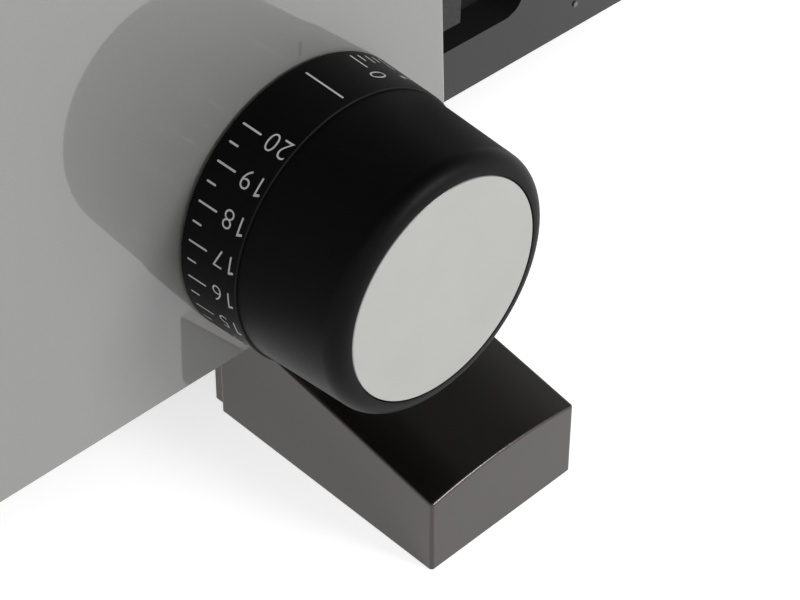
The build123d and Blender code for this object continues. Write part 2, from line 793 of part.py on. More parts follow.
stop_pin_places = [
    (knob_x + stop_pin_x, stop_bottom + stop_pin_rise),
    (knob_x + stop_pin_x, stop_top - stop_pin_rise),
    (stop_x1 - stop_pin_inset, (stop_bottom + stop_top) / 2),
]
stop_rivets = rods(stop_pin_places, stop_pin_radius, stop_y0 - stop_pin_head, stop_y0)
save(stop_rivets, "stop_rivets")

# ---- blade, hub, shaft and lock ----
hub_y0 = plate_out_y + slide_gap
hub_y1 = hub_y0 + blade_hub_thickness
dish_y = cut_y - blade_dish
lock_bore = blade_shaft_radius + blade_bore_margin
spigot = lock_bore - blade_spigot
blade_shaft = turned([
    (0, output_y0 - stage_gap), (blade_shaft_radius, output_y0 - stage_gap), (blade_shaft_radius, hub_y0),
    (blade_hub_radius, hub_y0), (blade_hub_radius, hub_y1), (spigot, hub_y1),
    (spigot, dish_y), (0, dish_y),
], blade_x, blade_z)
save(blade_shaft, "blade_shaft")

blade_seat_y = hub_y1 + seat_gap
blade = turned([
    (lock_bore, blade_seat_y), (blade_flat_radius, blade_seat_y),
    (blade_radius - blade_bevel, cut_y - blade_thickness), (blade_radius, cut_y),
    (blade_radius - blade_bevel - blade_land, cut_y),
    (blade_flat_radius - blade_land, blade_seat_y + blade_thickness),
    (lock_bore, blade_seat_y + blade_thickness),
], blade_x, blade_z)
save(blade, "blade")

blade_screw_places = []
for turn in (90.0, 210.0, 330.0):
    angle = math.radians(turn)
    blade_screw_places.append((blade_x + blade_screw_circle * math.cos(angle),
                               blade_z + blade_screw_circle * math.sin(angle)))
blade_face_y = blade_seat_y + blade_thickness
blade_screws = rods(blade_screw_places, blade_screw_radius, blade_face_y, blade_face_y + blade_screw_height)
save(blade_screws, "blade_screws")

lock_y0 = blade_face_y + seat_gap
with BuildPart() as blade_lock:
    with BuildSketch(facing(lock_y0)):
        with Locations((blade_x, blade_z)):
            Circle(lock_radius)
            Circle(lock_bore, mode=Mode.SUBTRACT)
    extrude(amount=-(dish_y - lock_y0 + seat_gap))
    with BuildSketch(facing(dish_y + seat_gap)):
        with Locations((blade_x, blade_z)):
            Circle(lock_radius)
    extrude(amount=-lock_cap)
    with BuildSketch(facing(dish_y + lock_cap + seat_gap)):
        with Locations((blade_x, blade_z)):
            SlotOverall(lock_radius * 1.5, lock_slot_width)
    extrude(amount=lock_slot_depth, mode=Mode.SUBTRACT)
save(blade_lock, "blade_lock")

bearing_y0 = plate_in_y - stage_gap
bearing_width = (plate_out_y - bearing_y0 - slide_gap) / 2
with BuildPart() as blade_bearings:
    for y0 in (bearing_y0, bearing_y0 + bearing_width + slide_gap):
        with BuildSketch(facing(y0)):
            with Locations((blade_x, blade_z)):
                Circle(bearing_radius)
                Circle(blade_shaft_radius + running_fit, mode=Mode.SUBTRACT)
        extrude(amount=-bearing_width)
save(blade_bearings, "blade_bearings")

# ---- gear train: pinion, compound idler and output gear ----
output_gear = spur_gear(output_module, output_teeth, 180.0, blade_x, blade_z, output_y0, output_y1,
                        blade_shaft_radius + seat_gap)
save(output_gear, "output_gear")

idler_small = spur_gear(output_module, idler_small_teeth, 180.0 / idler_small_teeth, idler_x, idler_z,
                        output_y0 - stage_gap, output_y1, idler_shaft_radius + running_fit)
save(idler_small, "idler_small_gear")
idler_large = spur_gear(input_module, idler_large_teeth, motor_bearing_angle, idler_x, idler_z,
                        input_y0, input_y1, idler_shaft_radius + running_fit)
save(idler_large, "idler_large_gear")
idler_pin = rods([(idler_x, idler_z)], idler_shaft_radius, input_y0 - 0.6, plate_out_y - 1.0)
save(idler_pin, "idler_pin")
motor_pinion = spur_gear(input_module, pinion_teeth, motor_bearing_angle + 180.0 + 180.0 / pinion_teeth,
                         motor_x, motor_z, input_y0, input_y1, motor_shaft_radius - 1.0 + seat_gap)
save(motor_pinion, "motor_pinion")

# ---- motor ----
motor_place = [(motor_x, motor_z)]
motor_bolt_places = []
for turn in (45.0, -45.0):
    angle = math.radians(motor_bearing_angle + turn)
    motor_bolt_places.append((motor_x + motor_bolt_circle * math.cos(angle),
                              motor_z + motor_bolt_circle * math.sin(angle)))


def motor_frame(y0, y1, spindle_radius, fixing_places):
    """An end frame of the motor: a disc with a bearing bore and four cooling windows."""
    with BuildPart() as frame_disc:
        with BuildSketch(facing(y0, motor_x, motor_z)):
            Circle(motor_radius)
            Circle(spindle_radius + running_fit, mode=Mode.SUBTRACT)
            with PolarLocations(motor_radius * 0.5, 4, start_angle=motor_bearing_angle):
                Circle(motor_radius * 0.19, mode=Mode.SUBTRACT)
        extrude(amount=-(y1 - y0))
        with BuildSketch(facing(y0)):
            with Locations(*fixing_places):
                Circle(motor_bolt_radius + seat_gap)
        extrude(amount=-(y1 - y0), mode=Mode.SUBTRACT)
    return frame_disc


motor_front_frame = motor_frame(front_frame_y0, front_frame_y1, motor_shaft_radius, motor_bolt_places)
save(motor_front_frame, "motor_front_frame")
motor_back_frame = motor_frame(back_frame_y0, back_frame_y1, motor_shaft_radius, motor_bolt_places)
save(motor_back_frame, "motor_back_frame")
motor_bolts = rods(motor_bolt_places, motor_bolt_radius, front_frame_y0 - 1.0, back_frame_y1)
save(motor_bolts, "motor_bolts")
motor_standoffs = rods(standoff_places, standoff_radius, back_frame_y1, plate_in_y)
save(motor_standoffs, "motor_standoffs")

stator_bore = rotor_radius + rotor_air_gap
with BuildPart() as motor_stator:
    with BuildSketch(facing(stator_y0, motor_x, motor_z)):
        Circle(motor_radius)
        Circle(stator_bore, mode=Mode.SUBTRACT)
    extrude(amount=-stator_length)
    with BuildSketch(facing(stator_y0)):
        with Locations(*motor_bolt_places):
            Circle(motor_bolt_radius + seat_gap)
    extrude(amount=-stator_length, mode=Mode.SUBTRACT)
save(motor_stator, "motor_stator")
with BuildPart() as field_windings:
    for y0 in (stator_y0 - winding_length, stator_y0 + stator_length):
        with BuildSketch(facing(y0, motor_x, motor_z)):
            Circle(motor_bolt_circle - motor_bolt_radius - 1.0)
            Circle(stator_bore + 0.5, mode=Mode.SUBTRACT)
        extrude(amount=-winding_length)
save(field_windings, "field_windings")

rotor_core = rods(motor_place, rotor_radius, stator_y0 - 1.0, stator_y0 + stator_length + 1.0,
                  motor_shaft_radius + seat_gap)
save(rotor_core, "rotor_core")
commutator_y0 = front_frame_y1 + stage_gap
commutator = rods(motor_place, commutator_radius, commutator_y0, commutator_y0 + commutator_length,
                  motor_shaft_radius + seat_gap)
save(commutator, "commutator")
motor_shaft = turned([
    (0, front_frame_y0 - 1.0), (motor_shaft_radius, front_frame_y0 - 1.0),
    (motor_shaft_radius, input_y0), (motor_shaft_radius - 1.0, input_y0),
    (motor_shaft_radius - 1.0, input_y1 + 0.5), (0, input_y1 + 0.5),
], motor_x, motor_z)
save(motor_shaft, "motor_shaft")
fan_hub_radius = motor_shaft_radius + fan_hub_wall
with BuildPart() as cooling_fan:
    with BuildSketch(facing(fan_y0, motor_x, motor_z)):
        Circle(fan_radius)
        Circle(motor_shaft_radius + seat_gap, mode=Mode.SUBTRACT)
    extrude(amount=-fan_rim)
    with BuildSketch(facing(fan_y0 + fan_rim, motor_x, motor_z)):
        Circle(fan_hub_radius)
        with PolarLocations((fan_radius + fan_hub_radius) / 2 - fan_rim, fan_blades):
            Rectangle(fan_radius - fan_hub_radius, fan_blade_thickness)
        Circle(motor_shaft_radius + seat_gap, mode=Mode.SUBTRACT)
    extrude(amount=-(fan_width - fan_rim))
save(cooling_fan, "cooling_fan")

brush_reach = stator_bore + brush_holder_length
brush_middle = (commutator_radius + brush_reach) / 2 + slide_gap
brush_holder_x = brush_reach + slide_gap - brush_holder_length / 2
with BuildPart() as carbon_brushes:
    with BuildSketch(facing(commutator_y0 + stage_gap, motor_x, motor_z)):
        with Locations((-brush_middle, 0), (brush_middle, 0)):
            Rectangle(brush_reach - commutator_radius, brush_width)
    extrude(amount=-(commutator_length - 2 * stage_gap))
    with BuildSketch(facing(front_frame_y1, motor_x, motor_z)):
        with Locations((-brush_holder_x, 0), (brush_holder_x, 0)):
            Rectangle(brush_holder_length, brush_holder_width)
    extrude(amount=-2 * stage_gap)
save(carbon_brushes, "carbon_brushes")

# ---- base: a deck under the carriage joined to a plinth under the tower ----
plinth_middle_x = (plinth_x0 + plinth_x1) / 2
base_screw_z = housing_bottom - base_screw_seat
rail_screw_places = [
    (rear_end + rail_screw_inset, rail_y),
    ((rear_end + front_end) / 2, rail_y),
    (front_end - rail_screw_inset, rail_y),
]


def base_outline(inset):
    """Plan view of the base: the deck and the plinth as one area, set in by the given distance."""
    with BuildSketch() as outline:
        with Locations((0, (deck_y0 + deck_y1) / 2)):
            RectangleRounded(overall_length - 2 * inset, deck_y1 - deck_y0 - 2 * inset,
                             base_corner_round - inset)
        with Locations((plinth_middle_x, (plinth_y0 + deck_y0 + base_corner_round) / 2)):
            Rectangle(plinth_x1 - plinth_x0 - 2 * inset, deck_y0 + base_corner_round - plinth_y0 - 2 * inset)
    return outline.sketch


with BuildPart() as base_frame:
    with BuildSketch(Plane.XY.offset(base_lift)):
        add(base_outline(0))
    extrude(amount=deck_height - base_lift)
    fillet(base_frame.faces().sort_by(Axis.Z)[-1].edges().group_by(Axis.Y)[-1], base_top_round)
    with BuildSketch(Plane.XY.offset(deck_height)):
        with Locations((plinth_middle_x, (plinth_y0 + cut_y) / 2)):
            Rectangle(plinth_x1 - plinth_x0, cut_y - plinth_y0)
    extrude(amount=housing_bottom - deck_height)
    # room under the blade
    with BuildSketch(facing(plate_out_y)):
        with Locations((blade_x, blade_z)):
            Circle(blade_radius + blade_gap)
        with Locations((blade_x + housing_rear / 2, housing_bottom)):
            Rectangle(housing_rear, 2 * (housing_bottom - deck_height))
    extrude(amount=-(deck_y0 + blade_pit - plate_out_y), mode=Mode.SUBTRACT)
    # hollow underside
    with BuildSketch(Plane.XY.offset(base_lift)):
        add(base_outline(base_wall))
    extrude(amount=deck_height - base_lift - base_wall, mode=Mode.SUBTRACT)
    with BuildSketch(Plane.XY.offset(base_lift)):
        with Locations(*base_pads):
            Circle(pad_boss_radius)
        with Locations(*rail_screw_places, *base_screw_places):
            Circle(boss_radius)
    extrude(amount=deck_height - base_lift - base_wall)
    with BuildSketch(Plane.XY.offset(base_lift)):
        with Locations(*base_pads):
            Circle(pad_radius + seat_gap)
    extrude(amount=pad_height - base_lift, mode=Mode.SUBTRACT)
    with BuildSketch(Plane.XY.offset(deck_height - rail_pilot_depth)):
        with Locations(*rail_screw_places):
            Circle(housing_screw_radius + seat_gap)
    extrude(amount=rail_pilot_depth + 1, mode=Mode.SUBTRACT)
    with BuildSketch(Plane.XY.offset(base_lift)):
        with Locations(*base_screw_places):
            Circle(housing_screw_radius + screw_hole_play)
    extrude(amount=housing_bottom, mode=Mode.SUBTRACT)
    with BuildSketch(Plane.XY.offset(base_lift)):
        with Locations(*base_screw_places):
            Circle(base_screw_well)
    extrude(amount=base_screw_z - base_lift, mode=Mode.SUBTRACT)
save(base_frame, "base_frame")

with BuildPart() as base_cover:
    with BuildSketch(Plane.XY.offset(base_lift)):
        add(base_outline(base_wall + slide_gap))
        with Locations(*base_pads):
            Circle(pad_boss_radius + slide_gap, mode=Mode.SUBTRACT)
        with Locations((plinth_x0 + plinth_pad_inset / 2, plinth_y0 + plinth_pad_inset / 2)):
            Rectangle(plinth_pad_inset, plinth_pad_inset, mode=Mode.SUBTRACT)
        with Locations(*rail_screw_places, *base_screw_places):
            Circle(boss_radius + slide_gap, mode=Mode.SUBTRACT)
    extrude(amount=cover_thickness)
save(base_cover, "base_cover")

# ---- outrigger foot ----
def foot_section(height):
    """End view of the foot: straight sides and a crowned top."""
    with BuildSketch() as section:
        with BuildLine():
            left = Line((foot_x0, foot_clearance), (foot_x0, height))
            crown = ThreePointArc(left @ 1, ((foot_x0 + foot_x1) / 2, height + foot_crown), (foot_x1, height))
            Polyline(crown @ 1, (foot_x1, foot_clearance), left @ 0)
        make_face()
    return section.sketch


foot_rise = foot_slope * (foot_y1 - foot_y0)
collar_top = foot_height + foot_collar_rise
collar_width = foot_width - foot_collar_inset
bridge_x0 = foot_x0 + bridge_inset
bridge_x1 = foot_x1 - foot_collar_inset
bridge_top = deck_height - foot_collar_inset
lean_top = foot_height + 2 * foot_crown
with BuildPart() as outrigger_foot:
    with BuildSketch(facing(foot_y0)):
        add(foot_section(foot_height))
    with BuildSketch(facing(foot_y1)):
        add(foot_section(foot_height + foot_rise))
    loft()
    with BuildSketch(Plane.YZ.offset(foot_x0)):
        with BuildLine():
            Polyline((foot_y0, foot_clearance), (foot_y0 + foot_end_lean, lean_top), (foot_y0, lean_top),
                     (foot_y0, foot_clearance))
        make_face()
    extrude(amount=foot_width, mode=Mode.SUBTRACT)
    fillet(outrigger_foot.edges().filter_by_position(Axis.Z, foot_clearance + 1.0, 100.0), foot_edge_round)
    with BuildSketch(facing(foot_y1)):
        with Locations(((foot_x0 + foot_x1 + foot_collar_inset) / 2, (foot_collar_lift + collar_top) / 2)):
            Rectangle(collar_width, collar_top - foot_collar_lift)
    extrude(amount=-foot_collar_length)
    with BuildSketch(facing(foot_y1)):
        with Locations(((bridge_x0 + bridge_x1) / 2, (base_lift + bridge_top) / 2)):
            Rectangle(bridge_x1 - bridge_x0, bridge_top - base_lift)
    extrude(amount=-(plinth_y0 - foot_y1))
    with BuildSketch(Plane.XY.offset(foot_clearance)):
        with Locations(foot_pad):
            Circle(pad_radius + seat_gap)
    extrude(amount=pad_height - foot_clearance, mode=Mode.SUBTRACT)
save(outrigger_foot, "outrigger_foot")

with BuildPart() as rubber_feet:
    with BuildSketch(Plane.XY):
        with Locations(foot_pad, *base_pads):
            Circle(pad_radius)
    extrude(amount=pad_height)
    chamfer(rubber_feet.faces().group_by(Axis.Z)[0].edges(), pad_chamfer)
save(rubber_feet, "rubber_feet")

with BuildPart() as base_screws:
    with BuildSketch(Plane.XY.offset(base_screw_z - base_screw_head_height)):
        with Locations(*base_screw_places):
            Circle(base_screw_head_radius)
    extrude(amount=base_screw_head_height)
    with BuildSketch(Plane.XY.offset(base_screw_z)):
        with Locations(*base_screw_places):
            Circle(housing_screw_radius)
    extrude(amount=base_screw_seat + housing_wall)
save(base_screws, "base_screws")

# ---- carriage rail on the deck ----
with BuildPart() as carriage_rail:
    with BuildSketch(Plane.YZ.offset(rear_end + rail_inset)):
        with Locations((rail_y, deck_height + (rail_height - rail_head) / 2)):
            Rectangle(rail_width - 2 * rail_lip, rail_height - rail_head)
        with Locations((rail_y, rail_top - rail_head / 2)):
            Rectangle(rail_width, rail_head)
    extrude(amount=overall_length - 2 * rail_inset)
    with BuildSketch(Plane.XY.offset(deck_height)):
        with Locations(*rail_screw_places):
            Circle(housing_screw_radius + seat_gap)
    extrude(amount=rail_height, mode=Mode.SUBTRACT)
save(carriage_rail, "carriage_rail")

with BuildPart() as rail_screws:
    with BuildSketch(Plane.XY.offset(deck_height - rail_screw_depth)):
        with Locations(*rail_screw_places):
            Circle(housing_screw_radius)
    extrude(amount=rail_height + rail_screw_depth)
save(rail_screws, "rail_screws")

# ---- carriage: slider, table, end wall and thumb guard ----
table_middle_x = (table_x0 + table_x1) / 2
table_bottom = table_top - table_thickness
table_middle_y = (table_y0 + table_y1) / 2
carriage_width = table_y1 - table_y0
slider_x0 = table_middle_x - slider_length / 2
slider_bottom = deck_height + slider_lift
groove_pitch = carriage_width / (groove_count + 1)
groove_length = carriage_length - wall_inset - wall_thickness - 2 * groove_inset
with BuildPart() as carriage_slider:
    with BuildSketch(Plane.YZ.offset(slider_x0)):
        with Locations((rail_y, (slider_bottom + table_bottom) / 2)):
            Rectangle(slider_width, table_bottom - slider_bottom)
        with Locations((rail_y, (rail_top - rail_head + rail_top) / 2)):
            Rectangle(rail_width + 2 * slide_gap, rail_head + 2 * slide_gap, mode=Mode.SUBTRACT)
        with Locations((rail_y, (slider_bottom + rail_top - rail_head) / 2)):
            Rectangle(rail_width - 2 * rail_lip + 2 * slide_gap, rail_top - rail_head - slider_bottom + 1.0,
                      mode=Mode.SUBTRACT)
    extrude(amount=slider_length)
save(carriage_slider, "carriage_slider")

with BuildPart() as carriage_table:
    with BuildSketch(Plane.XY.offset(table_bottom)):
        with Locations((table_middle_x, table_middle_y)):
            RectangleRounded(carriage_length, carriage_width, table_corner_round)
    extrude(amount=table_thickness)
    with BuildSketch(Plane.XY.offset(table_top - groove_depth)):
        with Locations((table_x0 + groove_inset + groove_length / 2, table_middle_y)):
            with GridLocations(0, groove_pitch, 1, groove_count):
                SlotOverall(groove_length, groove_width)
    extrude(amount=groove_depth, mode=Mode.SUBTRACT)
save(carriage_table, "carriage_table")

with BuildPart() as carriage_wall:
    with BuildSketch(Plane.YZ.offset(wall_x0)):
        with Locations((table_middle_y, (table_top + wall_top) / 2)):
            Rectangle(carriage_width - 2 * wall_side_inset, wall_top - table_top)
    extrude(amount=wall_thickness)
    fillet(carriage_wall.edges().filter_by(Axis.X).group_by(Axis.Z)[-1], wall_corner_round)
save(carriage_wall, "carriage_wall")

runner_z0 = wall_top - runner_drop
guard_top = runner_z0 - guard_runner_gap
with BuildPart() as thumb_guard:
    with BuildSketch(facing(table_y0 + wall_side_inset)):
        with Locations((wall_x0 - guard_length / 2, (table_top + guard_top) / 2)):
            Rectangle(guard_length, guard_top - table_top)
    extrude(amount=-guard_thickness)
    fillet(thumb_guard.edges().filter_by(Axis.Y).group_by(Axis.Z)[-1].sort_by(Axis.X)[0], guard_corner_round)
save(thumb_guard, "thumb_guard")

# ---- food holder: rides on the end wall, pushes the food to the blade ----
holder_y1 = table_y1 - holder_inset
holder_y0 = holder_y1 - holder_thickness
holder_x1 = wall_x0 - holder_wall_gap
holder_x0 = holder_x1 - holder_length
holder_middle = ((holder_x0 + holder_x1) / 2, (holder_bottom + holder_top) / 2)
wall_middle_x = (wall_x0 + wall_x1) / 2
channel_top = wall_top + slide_gap
runner_top = channel_top + runner_wall
runner_y1 = table_y1 - 2 * wall_side_inset
link_x0 = holder_x1 - runner_wall
link_x1 = wall_x0 - slide_gap
with BuildPart() as holder_plate:
    with BuildSketch(facing(holder_y0)):
        with Locations(holder_middle):
            RectangleRounded(holder_length, holder_top - holder_bottom, holder_corner_round)
    extrude(amount=-holder_thickness)
    # channel over the wall's top, joined to the plate
    with BuildSketch(facing(runner_y1)):
        with Locations((wall_middle_x, (runner_z0 + runner_top) / 2)):
            Rectangle(wall_thickness + 2 * (slide_gap + runner_wall), runner_top - runner_z0)
        with Locations((wall_middle_x, (runner_z0 - 1.0 + channel_top) / 2)):
            Rectangle(wall_thickness + 2 * slide_gap, channel_top - runner_z0 + 1.0, mode=Mode.SUBTRACT)
        with Locations(((link_x0 + link_x1) / 2, (runner_z0 + wall_top) / 2)):
            Rectangle(link_x1 - link_x0, wall_top - runner_z0)
    extrude(amount=runner_length)
save(holder_plate, "holder_plate")

spike_pitch_x = holder_length / (spike_columns + 1)
spike_pitch_z = (runner_z0 - holder_bottom) / (spike_rows + 1)
with BuildPart() as holder_spikes:
    with BuildSketch(facing(holder_y0)):
        with Locations(((holder_x0 + holder_x1) / 2, (holder_bottom + runner_z0) / 2)):
            with GridLocations(spike_pitch_x, spike_pitch_z, spike_columns, spike_rows):
                Circle(spike_radius)
    extrude(amount=spike_length, taper=spike_taper)
save(holder_spikes, "holder_spikes")

with BuildPart() as holder_handle:
    with BuildSketch(facing(holder_y1)):
        with Locations(holder_middle):
            RectangleRounded(handle_length, handle_height, handle_round)
    extrude(amount=-(overall_width / 2 - holder_y1))
    fillet(holder_handle.faces().sort_by(Axis.Y)[-1].edges(), handle_edge_round)
save(holder_handle, "holder_handle")

# ---- start button, release button and switch ----
def front_wall_x(height):
    """Where the outside of the tower's leaning front wall is at the given height."""
    return knob_x + housing_front - (height - housing_bottom) * front_slope


button_back_x = front_wall_x(button_z) - housing_wall - button_flange - button_stem
release_back_x = front_wall_x(release_z) - housing_wall - button_flange - button_stem
button_reach = housing_wall + button_flange + button_stem + button_proud
with BuildPart() as start_button:
    with BuildSketch(Plane.YZ.offset(button_back_x)):
        with Locations((control_y, button_z)):
            RectangleRounded(button_width + 2 * button_flange_width, button_tall + 2 * button_flange_width,
                             button_round)
    extrude(amount=button_flange)
    with BuildSketch(Plane.YZ.offset(button_back_x)):
        with Locations((control_y, button_z)):
            RectangleRounded(button_width, button_tall, button_round)
    extrude(amount=button_reach)
    fillet(start_button.faces().sort_by(Axis.X)[-1].edges(), button_edge_round)
save(start_button, "start_button")
with BuildPart() as release_button:
    with BuildSketch(Plane.YZ.offset(release_back_x)):
        with Locations((control_y, release_z)):
            Circle(release_radius + button_flange_width)
    extrude(amount=button_flange)
    with BuildSketch(Plane.YZ.offset(release_back_x)):
        with Locations((control_y, release_z)):
            Circle(release_radius)
    extrude(amount=button_reach)
    fillet(release_button.faces().sort_by(Axis.X)[-1].edges(), release_edge_round)
save(release_button, "release_button")

switch_x1 = min(button_back_x - button_travel, release_back_x - release_travel) - switch_gap
switch_y1 = control_y + switch_side
switch_z0 = release_z - switch_margin
switch_z1 = button_z + switch_margin
with BuildPart() as switch_body:
    with BuildSketch(Plane.YZ.offset(switch_x1 - switch_depth)):
        with Locations(((inner_face_y + switch_y1) / 2, (switch_z0 + switch_z1) / 2)):
            Rectangle(switch_y1 - inner_face_y, switch_z1 - switch_z0)
    extrude(amount=switch_depth)
save(switch_body, "switch_body")

# ---- suppressor, terminal block and cable gland ----
suppressor_place = (knob_x - suppressor_setback,
                    motor_z + motor_radius + suppressor_gap + suppressor_size[1] / 2)
with BuildPart() as suppressor:
    with BuildSketch(facing(inner_face_y)):
        with Locations(suppressor_place):
            RectangleRounded(*suppressor_size, suppressor_round)
    extrude(amount=-suppressor_depth)
save(suppressor, "suppressor")

terminal_middle = (knob_x - terminal_place[0], housing_top - terminal_place[1])
with BuildPart() as terminal_block:
    with BuildSketch(facing(inner_face_y)):
        with Locations(terminal_middle):
            Rectangle(*terminal_size)
    extrude(amount=-terminal_depth)
    with BuildSketch(facing(inner_face_y + terminal_depth)):
        with Locations(terminal_middle):
            with GridLocations(*terminal_hole_pitch, 3, 2):
                Circle(terminal_hole_radius)
    extrude(amount=terminal_hole_depth, mode=Mode.SUBTRACT)
save(terminal_block, "terminal_block")

gland_wall_x = knob_x - housing_rear + (gland_height - housing_bottom) * rear_slope
gland_y = face_y + gland_depth
with BuildPart() as cable_gland:
    with BuildSketch(Plane.YZ.offset(gland_wall_x - gland_overlap)):
        with Locations((gland_y, gland_height)):
            Circle(gland_radius)
    extrude(amount=housing_wall + gland_tail)
    with BuildSketch(Plane.YZ.offset(gland_wall_x - gland_overlap)):
        with Locations((gland_y, gland_height)):
            Circle(gland_radius)
    extrude(amount=-gland_length, taper=gland_taper)
    with BuildSketch(Plane.YZ.offset(gland_wall_x - gland_length - 1)):
        with Locations((gland_y, gland_height)):
            Circle(cable_radius)
    extrude(amount=gland_length + housing_wall + gland_tail + 2, mode=Mode.SUBTRACT)
save(cable_gland, "cable_gland")
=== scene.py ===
import json
import math

import bpy
from mathutils import Matrix, Vector


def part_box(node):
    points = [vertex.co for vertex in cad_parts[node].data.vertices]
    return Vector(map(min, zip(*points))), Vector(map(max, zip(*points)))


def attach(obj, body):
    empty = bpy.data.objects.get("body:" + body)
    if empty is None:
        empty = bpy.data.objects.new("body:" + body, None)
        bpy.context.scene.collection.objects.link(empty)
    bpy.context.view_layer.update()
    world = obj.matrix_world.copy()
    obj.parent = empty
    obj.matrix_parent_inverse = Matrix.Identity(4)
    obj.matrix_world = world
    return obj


# Food slicer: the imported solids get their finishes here, and the dial gets its printed scale.
# Everything is in metres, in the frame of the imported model.

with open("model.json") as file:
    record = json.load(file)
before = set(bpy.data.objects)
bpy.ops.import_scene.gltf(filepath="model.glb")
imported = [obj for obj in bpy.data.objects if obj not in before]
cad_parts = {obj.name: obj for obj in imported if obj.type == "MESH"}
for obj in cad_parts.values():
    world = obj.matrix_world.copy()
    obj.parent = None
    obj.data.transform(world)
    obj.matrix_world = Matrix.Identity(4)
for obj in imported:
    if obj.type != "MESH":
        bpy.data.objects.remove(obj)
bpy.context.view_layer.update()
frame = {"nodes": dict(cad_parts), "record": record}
scene = bpy.context.scene
parts = frame["nodes"]
MM = 0.001
bevel_samples = 4                                   # of the rounding that relief() gives to sharp edges


# ---------------------------------------------------------------- material building blocks

def new_material(name, roughness=0.5, metallic=0.0, colour=(0.5, 0.5, 0.5)):
    """A named material with one Principled shader, whose plain values sit on the shader itself."""
    material = bpy.data.materials.new(name)
    material.use_nodes = True
    shader = material.node_tree.nodes["Principled BSDF"]
    shader.inputs["Base Color"].default_value = (*colour, 1.0)
    shader.inputs["Roughness"].default_value = roughness
    shader.inputs["Metallic"].default_value = metallic
    return material, shader


def place(material, stretch=(1, 1, 1), centre=(0, 0, 0)):
    """Object coordinates in metres, centred on a point and stretched along the axes."""
    nodes, links = material.node_tree.nodes, material.node_tree.links
    source = nodes.new("ShaderNodeTexCoord")
    mapping = nodes.new("ShaderNodeMapping")
    mapping.inputs["Scale"].default_value = stretch
    mapping.inputs["Location"].default_value = [-c * s for c, s in zip(centre, stretch)]
    links.new(source.outputs["Object"], mapping.inputs["Vector"])
    return mapping.outputs["Vector"]


def noise(material, size, detail=3.0, vector=None):
    """Soft noise with lumps of about the given size in metres."""
    nodes, links = material.node_tree.nodes, material.node_tree.links
    texture = nodes.new("ShaderNodeTexNoise")
    texture.inputs["Scale"].default_value = 1.0 / size
    texture.inputs["Detail"].default_value = detail
    links.new(vector or place(material), texture.inputs["Vector"])
    return texture.outputs["Fac"]


def spread(material, value, low, high, start=0.3, end=0.7):
    """The given value taken from start..end to low..high."""
    nodes, links = material.node_tree.nodes, material.node_tree.links
    ranger = nodes.new("ShaderNodeMapRange")
    for name, number in (("From Min", start), ("From Max", end), ("To Min", low), ("To Max", high)):
        ranger.inputs[name].default_value = number
    links.new(value, ranger.inputs["Value"])
    return ranger.outputs["Result"]


def blend(material, value, first, second, start=0.3, end=0.7):
    """A colour between two, led by the given value."""
    nodes, links = material.node_tree.nodes, material.node_tree.links
    ramp = nodes.new("ShaderNodeValToRGB")
    ramp.color_ramp.elements[0].position = start
    ramp.color_ramp.elements[0].color = (*first, 1.0)
    ramp.color_ramp.elements[1].position = end
    ramp.color_ramp.elements[1].color = (*second, 1.0)
    links.new(value, ramp.inputs["Fac"])
    return ramp.outputs["Color"]


def feed(material, shader, socket, value):
    """Links a value to one socket of a shader or another node."""
    material.node_tree.links.new(value, shader.inputs[socket])


def mix(material, factor, first, second):
    """A linked value that gives way to a fixed one, a colour or a plain number, as the factor goes to 1."""
    nodes, links = material.node_tree.nodes, material.node_tree.links
    mixer = nodes.new("ShaderNodeMix")
    if isinstance(second, tuple):
        mixer.data_type = "RGBA"
        second = (*second, 1.0)
    links.new(factor, mixer.inputs["Factor"])
    links.new(first, mixer.inputs["A"])
    mixer.inputs["B"].default_value = second
    return mixer.outputs["Result"]


def rings_round(material, node, end, scale, distortion, detail=2.0, detail_scale=1.0):
    """Fine rings round a part's own Y axis, centred on its low end (0) or its high end (1) in Y."""
    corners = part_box(node)
    centre = ((corners[0][0] + corners[1][0]) / 2, corners[end][1], (corners[0][2] + corners[1][2]) / 2)
    rings = material.node_tree.nodes.new("ShaderNodeTexWave")
    rings.wave_type = "RINGS"
    rings.rings_direction = "Y"
    rings.inputs["Scale"].default_value = scale
    rings.inputs["Distortion"].default_value = distortion
    rings.inputs["Detail"].default_value = detail
    rings.inputs["Detail Scale"].default_value = detail_scale
    feed(material, rings, "Vector", place(material, centre=centre))
    return rings.outputs["Fac"]


def relief(material, shader, height, depth, edge=0.0):
    """Bumps of the given depth in metres; with an edge radius, sharp edges catch the light as if rounded."""
    nodes, links = material.node_tree.nodes, material.node_tree.links
    bump = nodes.new("ShaderNodeBump")
    bump.inputs["Strength"].default_value = 1.0
    bump.inputs["Distance"].default_value = depth
    links.new(height, bump.inputs["Height"])
    if edge:
        rounding = nodes.new("ShaderNodeBevel")
        rounding.samples = bevel_samples
        rounding.inputs["Radius"].default_value = edge
        links.new(rounding.outputs["Normal"], bump.inputs["Normal"])
    links.new(bump.outputs["Normal"], shader.inputs["Normal"])


# ---------------------------------------------------------------- finishes

def silver_lacquer():
    """Pale silver paint with fine flakes under a clear, smooth coat that mirrors what stands before it."""
    material, shader = new_material("silver_lacquer", roughness=0.5, metallic=0.2)
    flakes = noise(material, 0.22 * MM, detail=1.0)
    clouds = noise(material, 60 * MM, detail=2.0)
    feed(material, shader, "Base Color", blend(material, flakes, (0.235, 0.236, 0.230), (0.264, 0.265, 0.258)))
    feed(material, shader, "Roughness", spread(material, clouds, 0.46, 0.54))
    relief(material, shader, flakes, 0.003 * MM, edge=0.3 * MM)
    shader.inputs["Coat Weight"].default_value = 1.0
    shader.inputs["Coat Roughness"].default_value = 0.03
    shader.inputs["Coat IOR"].default_value = 1.6
    return material


